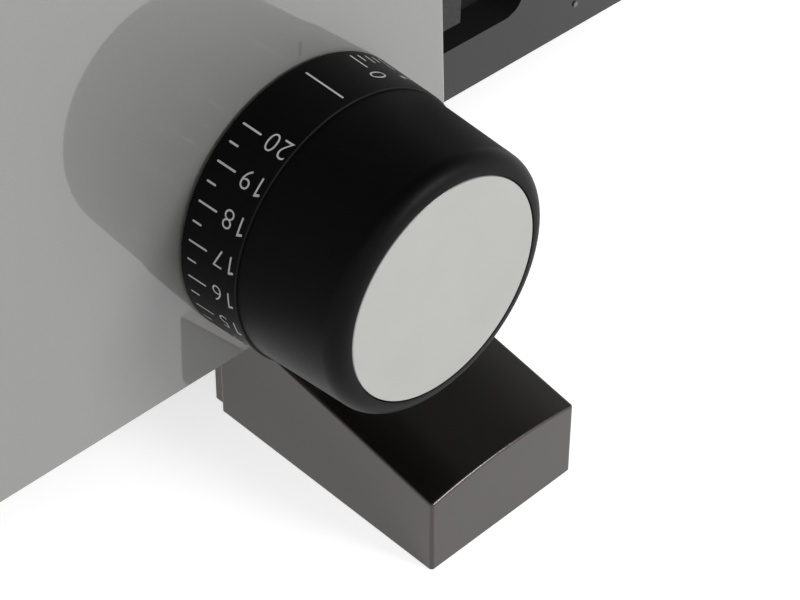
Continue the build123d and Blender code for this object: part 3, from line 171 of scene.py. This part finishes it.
def cast_alloy():
    """Sand-grey die casting with a slightly pebbled skin."""
    material, shader = new_material("cast_alloy", roughness=0.55, metallic=1.0)
    skin = noise(material, 0.9 * MM, detail=4.0)
    stains = noise(material, 14 * MM, detail=3.0)
    feed(material, shader, "Base Color", blend(material, stains, (0.45, 0.455, 0.46), (0.56, 0.56, 0.565)))
    feed(material, shader, "Roughness", spread(material, skin, 0.46, 0.66))
    relief(material, shader, skin, 0.06 * MM, edge=0.3 * MM)
    return material


def painted_casting():
    """The same casting under dull black paint."""
    material, shader = new_material("painted_casting", roughness=0.6)
    skin = noise(material, 0.9 * MM, detail=4.0)
    patches = noise(material, 16 * MM, detail=3.0)
    feed(material, shader, "Base Color", blend(material, patches, (0.004, 0.004, 0.004), (0.008, 0.008, 0.0078)))
    feed(material, shader, "Roughness", spread(material, skin, 0.52, 0.7))
    relief(material, shader, skin, 0.05 * MM, edge=0.3 * MM)
    return material


def turned_steel():
    """Bright steel with fine turning marks."""
    material, shader = new_material("turned_steel", roughness=0.25, metallic=1.0)
    marks = noise(material, 0.5 * MM, detail=2.0, vector=place(material, stretch=(1, 6, 1)))
    tone = noise(material, 6 * MM, detail=2.0)
    feed(material, shader, "Base Color", blend(material, tone, (0.55, 0.55, 0.56), (0.65, 0.65, 0.655)))
    feed(material, shader, "Roughness", spread(material, marks, 0.18, 0.34))
    relief(material, shader, marks, 0.006 * MM, edge=0.15 * MM)
    return material


def satin_black():
    """Black moulded plastic with a fine spark-eroded grain."""
    material, shader = new_material("satin_black", roughness=0.4)
    grain = noise(material, 0.28 * MM, detail=2.0)
    patches = noise(material, 18 * MM, detail=3.0)
    feed(material, shader, "Base Color", blend(material, patches, (0.0011, 0.0011, 0.0011), (0.0017, 0.0016, 0.0016)))
    feed(material, shader, "Roughness", spread(material, grain, 0.40, 0.50))
    relief(material, shader, grain, 0.007 * MM, edge=0.25 * MM)
    shader.inputs["Specular IOR Level"].default_value = 0.09
    return material


def gloss_black(name="gloss_black"):
    """Black polished plastic with a trace of brown in it."""
    material, shader = new_material(name, roughness=0.16)
    swirl = noise(material, 9 * MM, detail=3.0)
    dust = noise(material, 0.5 * MM, detail=2.0)
    feed(material, shader, "Base Color", blend(material, swirl, (0.0040, 0.0036, 0.0033), (0.0056, 0.0051, 0.0047)))
    feed(material, shader, "Roughness", spread(material, dust, 0.18, 0.26))
    relief(material, shader, swirl, 0.010 * MM, edge=0.15 * MM)
    shader.inputs["IOR"].default_value = 1.68
    shader.inputs["Specular Tint"].default_value = (1.0, 0.91, 0.85, 1.0)
    return material


def stop_plate_black():
    """Polished black outside; the floor and walls of the recess in its back are dull, and coloured darker as painted
    shade.
    """
    recess_sides = [("X", 62.9 * MM, 108.9 * MM), ("Z", 31.6 * MM, 140.1 * MM)]
    skin = 0.05 * MM                                # the plate's own back stays polished to this depth
    beyond = 1                                      # further along Y than any of the plate
    # painted shade: the recess is coloured darker than the plate's own black
    recess_shade_colour = (0.0015, 0.0015, 0.0015)
    recess_roughness = 0.75
    material = gloss_black("stop_plate_black")
    shader = material.node_tree.nodes["Principled BSDF"]
    shader.inputs["IOR"].default_value = 1.5
    shader.inputs["Specular Tint"].default_value = (1.0, 0.97, 0.97, 1.0)
    nodes, links = material.node_tree.nodes, material.node_tree.links
    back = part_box("stop_plate")[0][1]
    split = nodes.new("ShaderNodeSeparateXYZ")
    links.new(place(material), split.inputs["Vector"])
    inside = []
    for axis, first, last in recess_sides + [("Y", back + skin, beyond)]:
        for edge, sign in ((first, "GREATER_THAN"), (last, "LESS_THAN")):
            test = nodes.new("ShaderNodeMath")
            test.operation = sign
            test.inputs[1].default_value = edge
            links.new(split.outputs[axis], test.inputs[0])
            inside.append(test.outputs[0])
    mask = inside[0]
    for other in inside[1:]:
        both = nodes.new("ShaderNodeMath")
        both.operation = "MULTIPLY"
        links.new(mask, both.inputs[0])
        links.new(other, both.inputs[1])
        mask = both.outputs[0]
    # the recess gets painted shade in its colour, and a dull roughness
    for socket, dull in (("Base Color", recess_shade_colour), ("Roughness", recess_roughness)):
        polished = shader.inputs[socket].links[0].from_socket
        feed(material, shader, socket, mix(material, mask, polished, dull))
    return material


def spun_disc():
    """Satin aluminium with very fine circular brushing; its turned bevel is coloured darker than the face, a painted
    shade that dims the highlight on its edge.
    """
    # painted shade: the bevel is coloured darker than the face, to dim the highlight its edge catches
    bevel_painted_shade = (0.25, 0.252, 0.242)
    face_normal, bevel_normal = -0.98, -0.85        # the normal's Y: on the flat face, and from where on it is bevel
    material, shader = new_material("spun_disc", roughness=0.35, metallic=1.0)
    rings = rings_round(material, "knob_disc", 0, 900.0, 6.0, 3.0, 2.0)
    clouds = noise(material, 12 * MM, detail=2.0)
    nodes, links = material.node_tree.nodes, material.node_tree.links
    axes = nodes.new("ShaderNodeSeparateXYZ")
    links.new(nodes.new("ShaderNodeTexCoord").outputs["Normal"], axes.inputs["Vector"])
    bevel = spread(material, axes.outputs["Y"], 0.0, 1.0, face_normal, bevel_normal)
    face = blend(material, clouds, (0.398, 0.402, 0.382), (0.414, 0.417, 0.399))
    # on the bevel, the painted shade takes the place of the face's colour
    feed(material, shader, "Base Color", mix(material, bevel, face, bevel_painted_shade))
    feed(material, shader, "Roughness", spread(material, rings, 0.32, 0.40, 0.0, 1.0))
    relief(material, shader, rings, 0.0015 * MM)
    return material


def ground_blade():
    """Hollow-ground steel: circular grinding marks round the blade's axis."""
    material, shader = new_material("ground_blade", roughness=0.2, metallic=1.0)
    rings = rings_round(material, "blade", 1, 420.0, 9.0, 4.0, 3.0)
    smears = noise(material, 30 * MM, detail=3.0)
    feed(material, shader, "Base Color", blend(material, smears, (0.60, 0.605, 0.61), (0.70, 0.70, 0.705)))
    feed(material, shader, "Roughness", spread(material, rings, 0.14, 0.26, 0.0, 1.0))
    relief(material, shader, rings, 0.003 * MM)
    return material


def brushed_sheet():
    """Stainless sheet brushed along X."""
    material, shader = new_material("brushed_sheet", roughness=0.3, metallic=1.0)
    strokes = noise(material, 0.22 * MM, detail=2.0, vector=place(material, stretch=(0.012, 1, 1)))
    smears = noise(material, 25 * MM, detail=3.0)
    feed(material, shader, "Base Color", blend(material, smears, (0.57, 0.57, 0.57), (0.63, 0.63, 0.625)))
    feed(material, shader, "Roughness", spread(material, strokes, 0.27, 0.35))
    relief(material, shader, strokes, 0.0008 * MM, edge=0.3 * MM)
    return material


def anodised_rail():
    """Matt anodised aluminium with drawing lines along X."""
    material, shader = new_material("anodised_rail", roughness=0.4, metallic=1.0)
    lines = noise(material, 0.4 * MM, detail=2.0, vector=place(material, stretch=(0.01, 1, 1)))
    feed(material, shader, "Base Color", blend(material, lines, (0.56, 0.565, 0.575), (0.63, 0.635, 0.64)))
    feed(material, shader, "Roughness", spread(material, lines, 0.34, 0.46))
    relief(material, shader, lines, 0.003 * MM, edge=0.25 * MM)
    return material


def moulded(name, first, second, roughness, grain_size=0.4, depth=0.01, edge=0.25):
    """A coloured moulded plastic with a fine grain and slightly uneven colour."""
    material, shader = new_material(name, roughness=roughness)
    grain = noise(material, grain_size * MM, detail=2.0)
    patches = noise(material, 12 * MM, detail=3.0)
    feed(material, shader, "Base Color", blend(material, patches, first, second))
    feed(material, shader, "Roughness", spread(material, grain, roughness - 0.06, roughness + 0.06))
    relief(material, shader, grain, depth * MM, edge=edge * MM)
    return material


def laminations():
    """A stack of thin steel sheets, seen as fine lines across the motor's axis."""
    material, shader = new_material("laminations", roughness=0.45, metallic=0.8)
    nodes, links = material.node_tree.nodes, material.node_tree.links
    sheets = nodes.new("ShaderNodeTexWave")
    sheets.bands_direction = "Y"
    sheets.inputs["Scale"].default_value = 320.0
    sheets.inputs["Distortion"].default_value = 0.6
    links.new(place(material), sheets.inputs["Vector"])
    lines = sheets.outputs["Fac"]
    feed(material, shader, "Base Color", blend(material, lines, (0.12, 0.12, 0.125), (0.30, 0.30, 0.31), 0.2, 0.6))
    relief(material, shader, lines, 0.12 * MM)
    return material


def copper_winding():
    """Enamelled wire wound round the motor's axis."""
    material, shader = new_material("copper_winding", roughness=0.28, metallic=0.9)
    wires = rings_round(material, "field_windings", 0, 260.0, 2.5)
    feed(material, shader, "Base Color", blend(material, wires, (0.30, 0.08, 0.025), (0.72, 0.30, 0.13), 0.1, 0.7))
    relief(material, shader, wires, 0.25 * MM)
    return material


def sintered_bronze():
    """Porous bearing bronze."""
    material, shader = new_material("sintered_bronze", roughness=0.5, metallic=1.0)
    pores = noise(material, 0.3 * MM, detail=4.0)
    feed(material, shader, "Base Color", blend(material, pores, (0.30, 0.17, 0.07), (0.58, 0.38, 0.18)))
    relief(material, shader, pores, 0.03 * MM)
    return material


def clear_plastic():
    """Clear acrylic with faint moulding waves."""
    material, shader = new_material("clear_plastic", roughness=0.06, colour=(0.93, 0.95, 0.955))
    waves = noise(material, 22 * MM, detail=2.0)
    scuffs = noise(material, 0.8 * MM, detail=3.0, vector=place(material, stretch=(1, 1, 0.2)))
    feed(material, shader, "Roughness", spread(material, scuffs, 0.03, 0.14, 0.4, 0.8))
    relief(material, shader, waves, 0.03 * MM)
    shader.inputs["Transmission Weight"].default_value = 0.95
    shader.inputs["IOR"].default_value = 1.49
    return material


def rubber():
    """Dull black rubber."""
    material = moulded("rubber", (0.010, 0.010, 0.010), (0.022, 0.022, 0.021), 0.8, grain_size=0.6, depth=0.05)
    material.node_tree.nodes["Principled BSDF"].inputs["Specular IOR Level"].default_value = 0.3
    return material


def printed_ink(name, first, second):
    """Thin screen-printed ink, slightly uneven."""
    material, shader = new_material(name, roughness=0.55)
    speckle = noise(material, 0.25 * MM, detail=3.0)
    feed(material, shader, "Base Color", blend(material, speckle, first, second))
    feed(material, shader, "Roughness", spread(material, speckle, 0.48, 0.62))
    relief(material, shader, speckle, 0.004 * MM)
    return material


slot_finishes = {
    "polished_housing": silver_lacquer(),
    "cast_alloy": cast_alloy(),
    "painted_casting": painted_casting(),
    "steel": turned_steel(),
    "satin_black": satin_black(),
    "gloss_black": gloss_black(),
    "bronze": sintered_bronze(),
    "laminations": laminations(),
    "copper": copper_winding(),
    "carbon": moulded("pressed_carbon", (0.02, 0.02, 0.022), (0.05, 0.05, 0.055), 0.6),
    "rubber": rubber(),
    "rail_alloy": anodised_rail(),
    "capacitor_case": moulded("suppressor_case", (0.60, 0.46, 0.10), (0.70, 0.55, 0.14), 0.3),
    "nylon": moulded("nylon", (0.66, 0.64, 0.55), (0.76, 0.74, 0.66), 0.42),
    "disc_alloy": spun_disc(),
    "stainless_sheet": brushed_sheet(),
    "blade_steel": ground_blade(),
    "clear_plastic": clear_plastic(),
    "button_grey": moulded("button_grey", (0.16, 0.16, 0.165), (0.20, 0.20, 0.205), 0.32),
    "button_red": moulded("button_red", (0.42, 0.022, 0.016), (0.50, 0.035, 0.025), 0.3),
}
part_finishes = {
    "stop_plate": stop_plate_black(),
    "stop_rivets": moulded("dull_pin", (0.15, 0.15, 0.15), (0.19, 0.19, 0.19), 0.6),
}

for entry in frame["record"]["subparts"]:
    part = parts[entry["node"]]
    finish = part_finishes.get(entry["node"], slot_finishes[entry["material_slot"]])
    for holder in part.material_slots:
        holder.material = finish


# ---------------------------------------------------------------- dial scale

ring_low, ring_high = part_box("dial_ring")
knob_x = (ring_low[0] + ring_high[0]) / 2
knob_z = (ring_low[2] + ring_high[2]) / 2
ring_radius = (ring_high[0] - ring_low[0]) / 2      # at the housing side
ring_back_y = ring_high[1]
ring_front_y = ring_low[1]
ring_back_chamfer = 0.5 * MM
ring_narrowing = 0.70 * MM                          # of the radius, between the chamfer and the grip
ring_taper_length = 14.38 * MM
ring_draft = math.atan(ring_narrowing / ring_taper_length)
ink_lift = 0.03 * MM
line_width = 0.42 * MM
line_start = 2.2 * MM                               # from the ring's housing-side edge
closed_line_start = 2.9 * MM
closed_line = 10.2 * MM
whole_line = 4.95 * MM
half_line = 3.0 * MM
quarter_line = 2.4 * MM                             # the same length marks the halves above 1
last_number = 20
closed_angle = -1.1                                 # angles of marks in degrees
zero_angle = 21.9
first_angle = 38.2
step_angle = 14.963
step_growth = 0.0184                                # the steps widen a little towards 20
digit_height = 4.2 * MM
cap_height_share = 0.72                             # height of a figure by the size of its font
digit_offset = 2.9 * MM                             # from a line's end to the middle of the last digit
digit_pitch = 3.1 * MM
digit_stroke = 0.5 * MM
digit_thinning = -0.015                             # takes this share of the digit's size off each stroke's side
digit_resolution = 4
digit_cuts = 3                                      # so that a figure can bend round the ring
flag_length = 1.2 * MM                              # the short stroke at the top of a 1
flag_turn = math.radians(-68)
seam_inset = 0.015 * MM
seam_breadth = 0.5 * MM
seam_thickness = 0.1 * MM
seam_sides = 180
seam_smooth_angle = math.radians(40)
index_width = 0.8 * MM
index_length = 3.4 * MM
index_right = 1.0 * MM                              # from the knob's axis to the index mark's middle
index_top = 35.4 * MM                               # from the knob's axis to the index mark's top
quarter_turn = math.radians(90)


def dial_angle(setting):
    """Degrees clockwise from the top of the closed knob, as seen from the knob's end."""
    if setting < 1:
        return zero_angle + (first_angle - zero_angle) * setting
    step = setting - 1
    return first_angle + step_angle * step + step_growth * step * step


def apply_place(piece, matrix):
    """Moves a piece's mesh, so that its object stays at the origin."""
    piece.data.transform(matrix)
    piece.matrix_world = Matrix.Identity(4)


def on_ring(angle, distance):
    """A frame on the ring: X runs round it clockwise, Y towards the housing, Z outwards."""
    turn = math.radians(angle)
    radius = ring_radius - (distance - ring_back_chamfer) * math.tan(ring_draft) + ink_lift
    outward = Vector((math.sin(turn), 0, math.cos(turn)))
    towards_grip = Vector((0, -1, 0))
    normal = (outward * math.cos(ring_draft) + towards_grip * math.sin(ring_draft)).normalized()
    round_way = Vector((math.cos(turn), 0, -math.sin(turn)))
    towards_housing = normal.cross(round_way)
    centre = Vector((knob_x, ring_back_y - distance, knob_z)) + outward * radius
    matrix = Matrix((round_way, towards_housing, normal)).transposed().to_4x4()
    matrix.translation = centre
    return matrix


def printed_line(name, width, length):
    """A flat line with rounded ends, drawn down from the origin along Y."""
    rounding_share, rounding_steps = 0.45, 4
    bpy.ops.object.select_all(action="DESELECT")
    bpy.ops.mesh.primitive_plane_add(size=1, location=(0, -length / 2, 0))
    line = bpy.context.object
    line.name = name
    line.scale = (width, length, 1)
    bpy.ops.object.transform_apply(location=True, rotation=True, scale=True)
    bpy.ops.object.mode_set(mode="EDIT")
    bpy.ops.mesh.select_all(action="SELECT")
    bpy.ops.mesh.bevel(offset=width * rounding_share, segments=rounding_steps, affect="VERTICES")
    bpy.ops.object.mode_set(mode="OBJECT")
    return line


def copy_of(piece, name):
    """A copy with a mesh of its own."""
    double = piece.copy()
    double.data = piece.data.copy()
    double.name = name
    scene.collection.objects.link(double)
    return double


def join(pieces, name):
    """The pieces as one, under one name."""
    bpy.ops.object.select_all(action="DESELECT")
    for piece in pieces:
        piece.select_set(True)
    bpy.context.view_layer.objects.active = pieces[0]
    bpy.ops.object.join()
    pieces[0].name = name
    pieces[0].data.name = name
    return pieces[0]


def dial_lines():
    """The closed mark, the quarters from 0 to 1, and a line at every whole and half number up to 20."""
    lengths = {"closed": closed_line, "whole": whole_line, "half": half_line, "quarter": quarter_line}
    patterns = {kind: printed_line(kind, line_width, length) for kind, length in lengths.items()}
    marks = [("closed", closed_angle), ("whole", dial_angle(0)), ("quarter", dial_angle(0.25)),
             ("half", dial_angle(0.5)), ("quarter", dial_angle(0.75))]
    for number in range(1, last_number + 1):
        marks.append(("whole", dial_angle(number)))
        if number < last_number:
            marks.append(("quarter", dial_angle(number + 0.5)))
    lines = []
    for kind, angle in marks:
        line = copy_of(patterns[kind], "dial_line")
        apply_place(line, on_ring(angle, closed_line_start if kind == "closed" else line_start))
        lines.append(line)
    for pattern in patterns.values():
        bpy.data.objects.remove(pattern)
    return join(lines, "dial_lines")


def digit(character):
    """A digit as a flat mesh with its middle at the origin, upright along Y."""
    bpy.ops.object.select_all(action="DESELECT")
    bpy.ops.object.text_add()
    figure = bpy.context.object
    figure.data.body = character
    figure.data.size = digit_height / cap_height_share
    figure.data.offset = digit_thinning * figure.data.size
    figure.data.resolution_u = digit_resolution
    bpy.ops.object.convert(target="MESH")
    figure = bpy.context.object
    corners = [vertex.co.copy() for vertex in figure.data.vertices]
    low = Vector([min(c[axis] for c in corners) for axis in range(3)])
    high = Vector([max(c[axis] for c in corners) for axis in range(3)])
    apply_place(figure, Matrix.Translation(-(low + high) / 2))
    if character == "1":
        flag = printed_line("flag", digit_stroke, flag_length)
        top = Matrix.Translation((0, (high[1] - low[1] - digit_stroke) / 2, 0))
        apply_place(flag, top @ Matrix.Rotation(flag_turn, 4, "Z"))
        figure = join([figure, flag], "digit")
    bpy.ops.object.select_all(action="DESELECT")
    figure.select_set(True)
    bpy.context.view_layer.objects.active = figure
    bpy.ops.object.mode_set(mode="EDIT")
    bpy.ops.mesh.select_all(action="SELECT")
    bpy.ops.mesh.subdivide(number_cuts=digit_cuts)
    bpy.ops.object.mode_set(mode="OBJECT")
    return figure


def dial_numbers():
    """The numbers 0 to 20, each digit laid on the ring with its top towards the lower numbers."""
    ring = parts["dial_ring"]
    patterns = {character: digit(character) for character in "0123456789"}
    upright = Matrix.Rotation(quarter_turn, 4, "Z")
    figures = []
    for number in range(last_number + 1):
        middle = line_start + whole_line + digit_offset
        for character in reversed(str(number)):
            figure = copy_of(patterns[character], "digit")
            apply_place(figure, on_ring(dial_angle(number), middle) @ upright)
            middle += digit_pitch
            wrap = figure.modifiers.new("wrap", "SHRINKWRAP")
            wrap.target = ring
            wrap.wrap_method = "NEAREST_SURFACEPOINT"
            wrap.wrap_mode = "ABOVE_SURFACE"
            wrap.offset = ink_lift
            bpy.context.view_layer.objects.active = figure
            bpy.ops.object.modifier_apply(modifier="wrap")
            figures.append(figure)
    for pattern in patterns.values():
        bpy.data.objects.remove(pattern)
    return join(figures, "dial_numbers")


white_ink = printed_ink("white_ink", (0.50, 0.50, 0.51), (0.60, 0.60, 0.61))
for scale_piece in (dial_lines(), dial_numbers()):
    scale_piece.data.materials.clear()
    scale_piece.data.materials.append(white_ink)
    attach(scale_piece, "knob")


def seam_line():
    """A thin flat ring on the ring's front edge, where the ring stands proud of the grip; it is coloured a little
    lighter and browner than the grip.
    """
    ring_length = ring_back_y - ring_front_y
    outer = ring_radius - (ring_length - ring_back_chamfer) * math.tan(ring_draft) - seam_inset
    middle = (knob_x, ring_front_y - seam_inset, knob_z)
    bpy.ops.object.select_all(action="DESELECT")
    bpy.ops.mesh.primitive_circle_add(
        vertices=seam_sides, radius=outer, location=middle, rotation=(quarter_turn, 0, 0))
    washer = bpy.context.object
    washer.name = "seam_line"
    bpy.ops.object.transform_apply(location=True, rotation=True, scale=True)
    bpy.ops.object.mode_set(mode="EDIT")
    bpy.ops.mesh.select_all(action="SELECT")
    bpy.ops.mesh.extrude_region_move(TRANSFORM_OT_translate={"value": (0, 0, 0)})
    inner = 1 - seam_breadth / outer
    bpy.ops.transform.resize(value=(inner, 1, inner), center_override=middle)
    bpy.ops.mesh.select_all(action="SELECT")
    bpy.ops.mesh.extrude_region_move(TRANSFORM_OT_translate={"value": (0, -seam_thickness, 0)})
    bpy.ops.mesh.select_all(action="SELECT")
    bpy.ops.mesh.normals_make_consistent(inside=False)
    bpy.ops.object.mode_set(mode="OBJECT")
    bpy.ops.object.shade_smooth_by_angle(angle=seam_smooth_angle)
    return washer


seam = seam_line()
# the seam piece is coloured a little lighter and browner than the black grip
seam_finish = moulded("seam_line", (0.009, 0.0085, 0.007), (0.013, 0.012, 0.010), 0.55)
seam_finish.node_tree.nodes["Principled BSDF"].inputs["Specular IOR Level"].default_value = 0.26
seam.data.materials.append(seam_finish)
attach(seam, "knob")


def index_mark():
    """The short printed line on the housing that the dial is read against."""
    face_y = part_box("motor_housing")[0][1]
    mark = printed_line("index_mark", index_width, index_length)
    upright = Matrix.Rotation(quarter_turn, 4, "X")
    top = Matrix.Translation((knob_x + index_right, face_y - ink_lift, knob_z + index_top))
    apply_place(mark, top @ upright)
    return mark


mark = index_mark()
mark.data.materials.append(printed_ink("grey_ink", (0.15, 0.15, 0.15), (0.19, 0.19, 0.19)))
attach(mark, "frame")


# ---------------------------------------------------------------- studio

sky_light = 0.5                                     # what the sky sheds on things
ceiling_seen = 0.12                                 # how bright the ceiling looks, beside a horizon of 1
horizon_height, ceiling_height = 0.25, 0.80         # where the sky starts and ends its fade
ceiling_tint = (0.90, 0.97, 1.0)
floor_size = 6.0
floor_drop = 0.2 * MM
floor_colour = (0.82, 0.82, 0.82)
floor_glow = 0.7
lamp_target = (0, 0, 0.1)
lamps = {"key": ((0.5, -1.3, 0.62), 0.5, 10.0), "fill": ((-0.8, -0.9, 1.1), 0.9, 2.0)}      # place, size, power
sensor_width, focal_length = 36.0, 97.27            # in millimetres, not metres
camera_turns = (44.35, 41.17, 1.51)                 # yaw, pitch and roll in degrees
camera_reach = (-0.22533, -0.24948, 0.26563)        # from the knob's axis at the housing's face
camera_shift = (-0.00018, 0.00016, 0)               # sideways and up, as the camera sees them


def seen_rays(tree):
    """1 for rays from the eye, straight or by way of metal and glass; 0 for the light that falls on things."""
    path = tree.nodes.new("ShaderNodeLightPath")
    seen = path.outputs["Is Camera Ray"]
    for kind in ("Is Glossy Ray", "Is Transmission Ray"):
        either = tree.nodes.new("ShaderNodeMath")
        either.operation = "MAXIMUM"
        tree.links.new(seen, either.inputs[0])
        tree.links.new(path.outputs[kind], either.inputs[1])
        seen = either.outputs[0]
    return seen


def studio_world():
    """A white horizon under a dim ceiling."""
    world = bpy.data.worlds.new("studio")
    scene.world = world
    world.use_nodes = True
    tree = world.node_tree
    nodes, links = tree.nodes, tree.links
    light = nodes["Background"]
    light.inputs["Color"].default_value = (1, 1, 1, 1)
    light.inputs["Strength"].default_value = sky_light
    heading = nodes.new("ShaderNodeTexCoord")
    height = nodes.new("ShaderNodeSeparateXYZ")
    links.new(heading.outputs["Generated"], height.inputs["Vector"])
    fade = nodes.new("ShaderNodeMapRange")
    fade.interpolation_type = "SMOOTHSTEP"
    fade.inputs["From Min"].default_value = horizon_height
    fade.inputs["From Max"].default_value = ceiling_height
    fade.inputs["To Min"].default_value = 1.0
    fade.inputs["To Max"].default_value = ceiling_seen
    links.new(height.outputs["Z"], fade.inputs["Value"])
    backdrop = nodes.new("ShaderNodeBackground")
    links.new(fade.outputs["Result"], backdrop.inputs["Strength"])
    tint = nodes.new("ShaderNodeMix")
    tint.data_type = "RGBA"
    tint.inputs["A"].default_value = (*ceiling_tint, 1.0)
    tint.inputs["B"].default_value = (1.0, 1.0, 1.0, 1.0)
    links.new(fade.outputs["Result"], tint.inputs["Factor"])
    links.new(tint.outputs["Result"], backdrop.inputs["Color"])
    mix = nodes.new("ShaderNodeMixShader")
    links.new(seen_rays(tree), mix.inputs["Fac"])
    links.new(light.outputs["Background"], mix.inputs[1])
    links.new(backdrop.outputs["Background"], mix.inputs[2])
    links.new(mix.outputs["Shader"], nodes["World Output"].inputs["Surface"])


def studio_floor():
    """A white table that looks white and still takes the object's shadow."""
    bpy.ops.object.select_all(action="DESELECT")
    bpy.ops.mesh.primitive_plane_add(size=floor_size, location=(0, 0, -floor_drop))
    floor = bpy.context.object
    floor.name = "floor"
    bpy.ops.object.transform_apply(location=True, rotation=True, scale=True)
    material, shader = new_material("floor_white", roughness=0.9, colour=floor_colour)
    tree = material.node_tree
    glow = tree.nodes.new("ShaderNodeEmission")
    strength = tree.nodes.new("ShaderNodeMath")
    strength.operation = "MULTIPLY"
    strength.inputs[1].default_value = floor_glow
    tree.links.new(seen_rays(tree), strength.inputs[0])
    tree.links.new(strength.outputs[0], glow.inputs["Strength"])
    both = tree.nodes.new("ShaderNodeAddShader")
    tree.links.new(shader.outputs["BSDF"], both.inputs[0])
    tree.links.new(glow.outputs["Emission"], both.inputs[1])
    tree.links.new(both.outputs["Shader"], tree.nodes["Material Output"].inputs["Surface"])
    floor.data.materials.append(material)


def soft_light(name, spot, size, power):
    """A square lamp aimed at the middle of the machine."""
    lamp = bpy.data.lights.new(name, "AREA")
    lamp.size = size
    lamp.energy = power
    holder = bpy.data.objects.new(name, lamp)
    scene.collection.objects.link(holder)
    holder.location = spot
    aim = Vector(lamp_target) - Vector(spot)
    holder.rotation_euler = aim.to_track_quat("-Z", "Y").to_euler()


def studio_camera():
    """Looks down on the knob from its own side of the machine and from the left of it."""
    camera = bpy.data.cameras.new("camera")
    camera.sensor_width = sensor_width
    camera.lens = focal_length
    holder = bpy.data.objects.new("camera", camera)
    scene.collection.objects.link(holder)
    yaw, pitch, roll = (math.radians(angle) for angle in camera_turns)
    turn = Matrix.Rotation(yaw - quarter_turn, 4, "Z") @ Matrix.Rotation(quarter_turn - pitch, 4, "X")
    turn = turn @ Matrix.Rotation(roll, 4, "Z")
    face_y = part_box("motor_housing")[0][1]
    spot = Vector((knob_x, face_y, knob_z)) + Vector(camera_reach)
    spot += turn.to_3x3() @ Vector(camera_shift)
    holder.matrix_world = Matrix.Translation(spot) @ turn
    scene.camera = holder


studio_world()
studio_floor()
for lamp_name, (lamp_spot, lamp_size, lamp_power) in lamps.items():
    soft_light(lamp_name, lamp_spot, lamp_size, lamp_power)
studio_camera()
scene.view_settings.view_transform = "Standard"
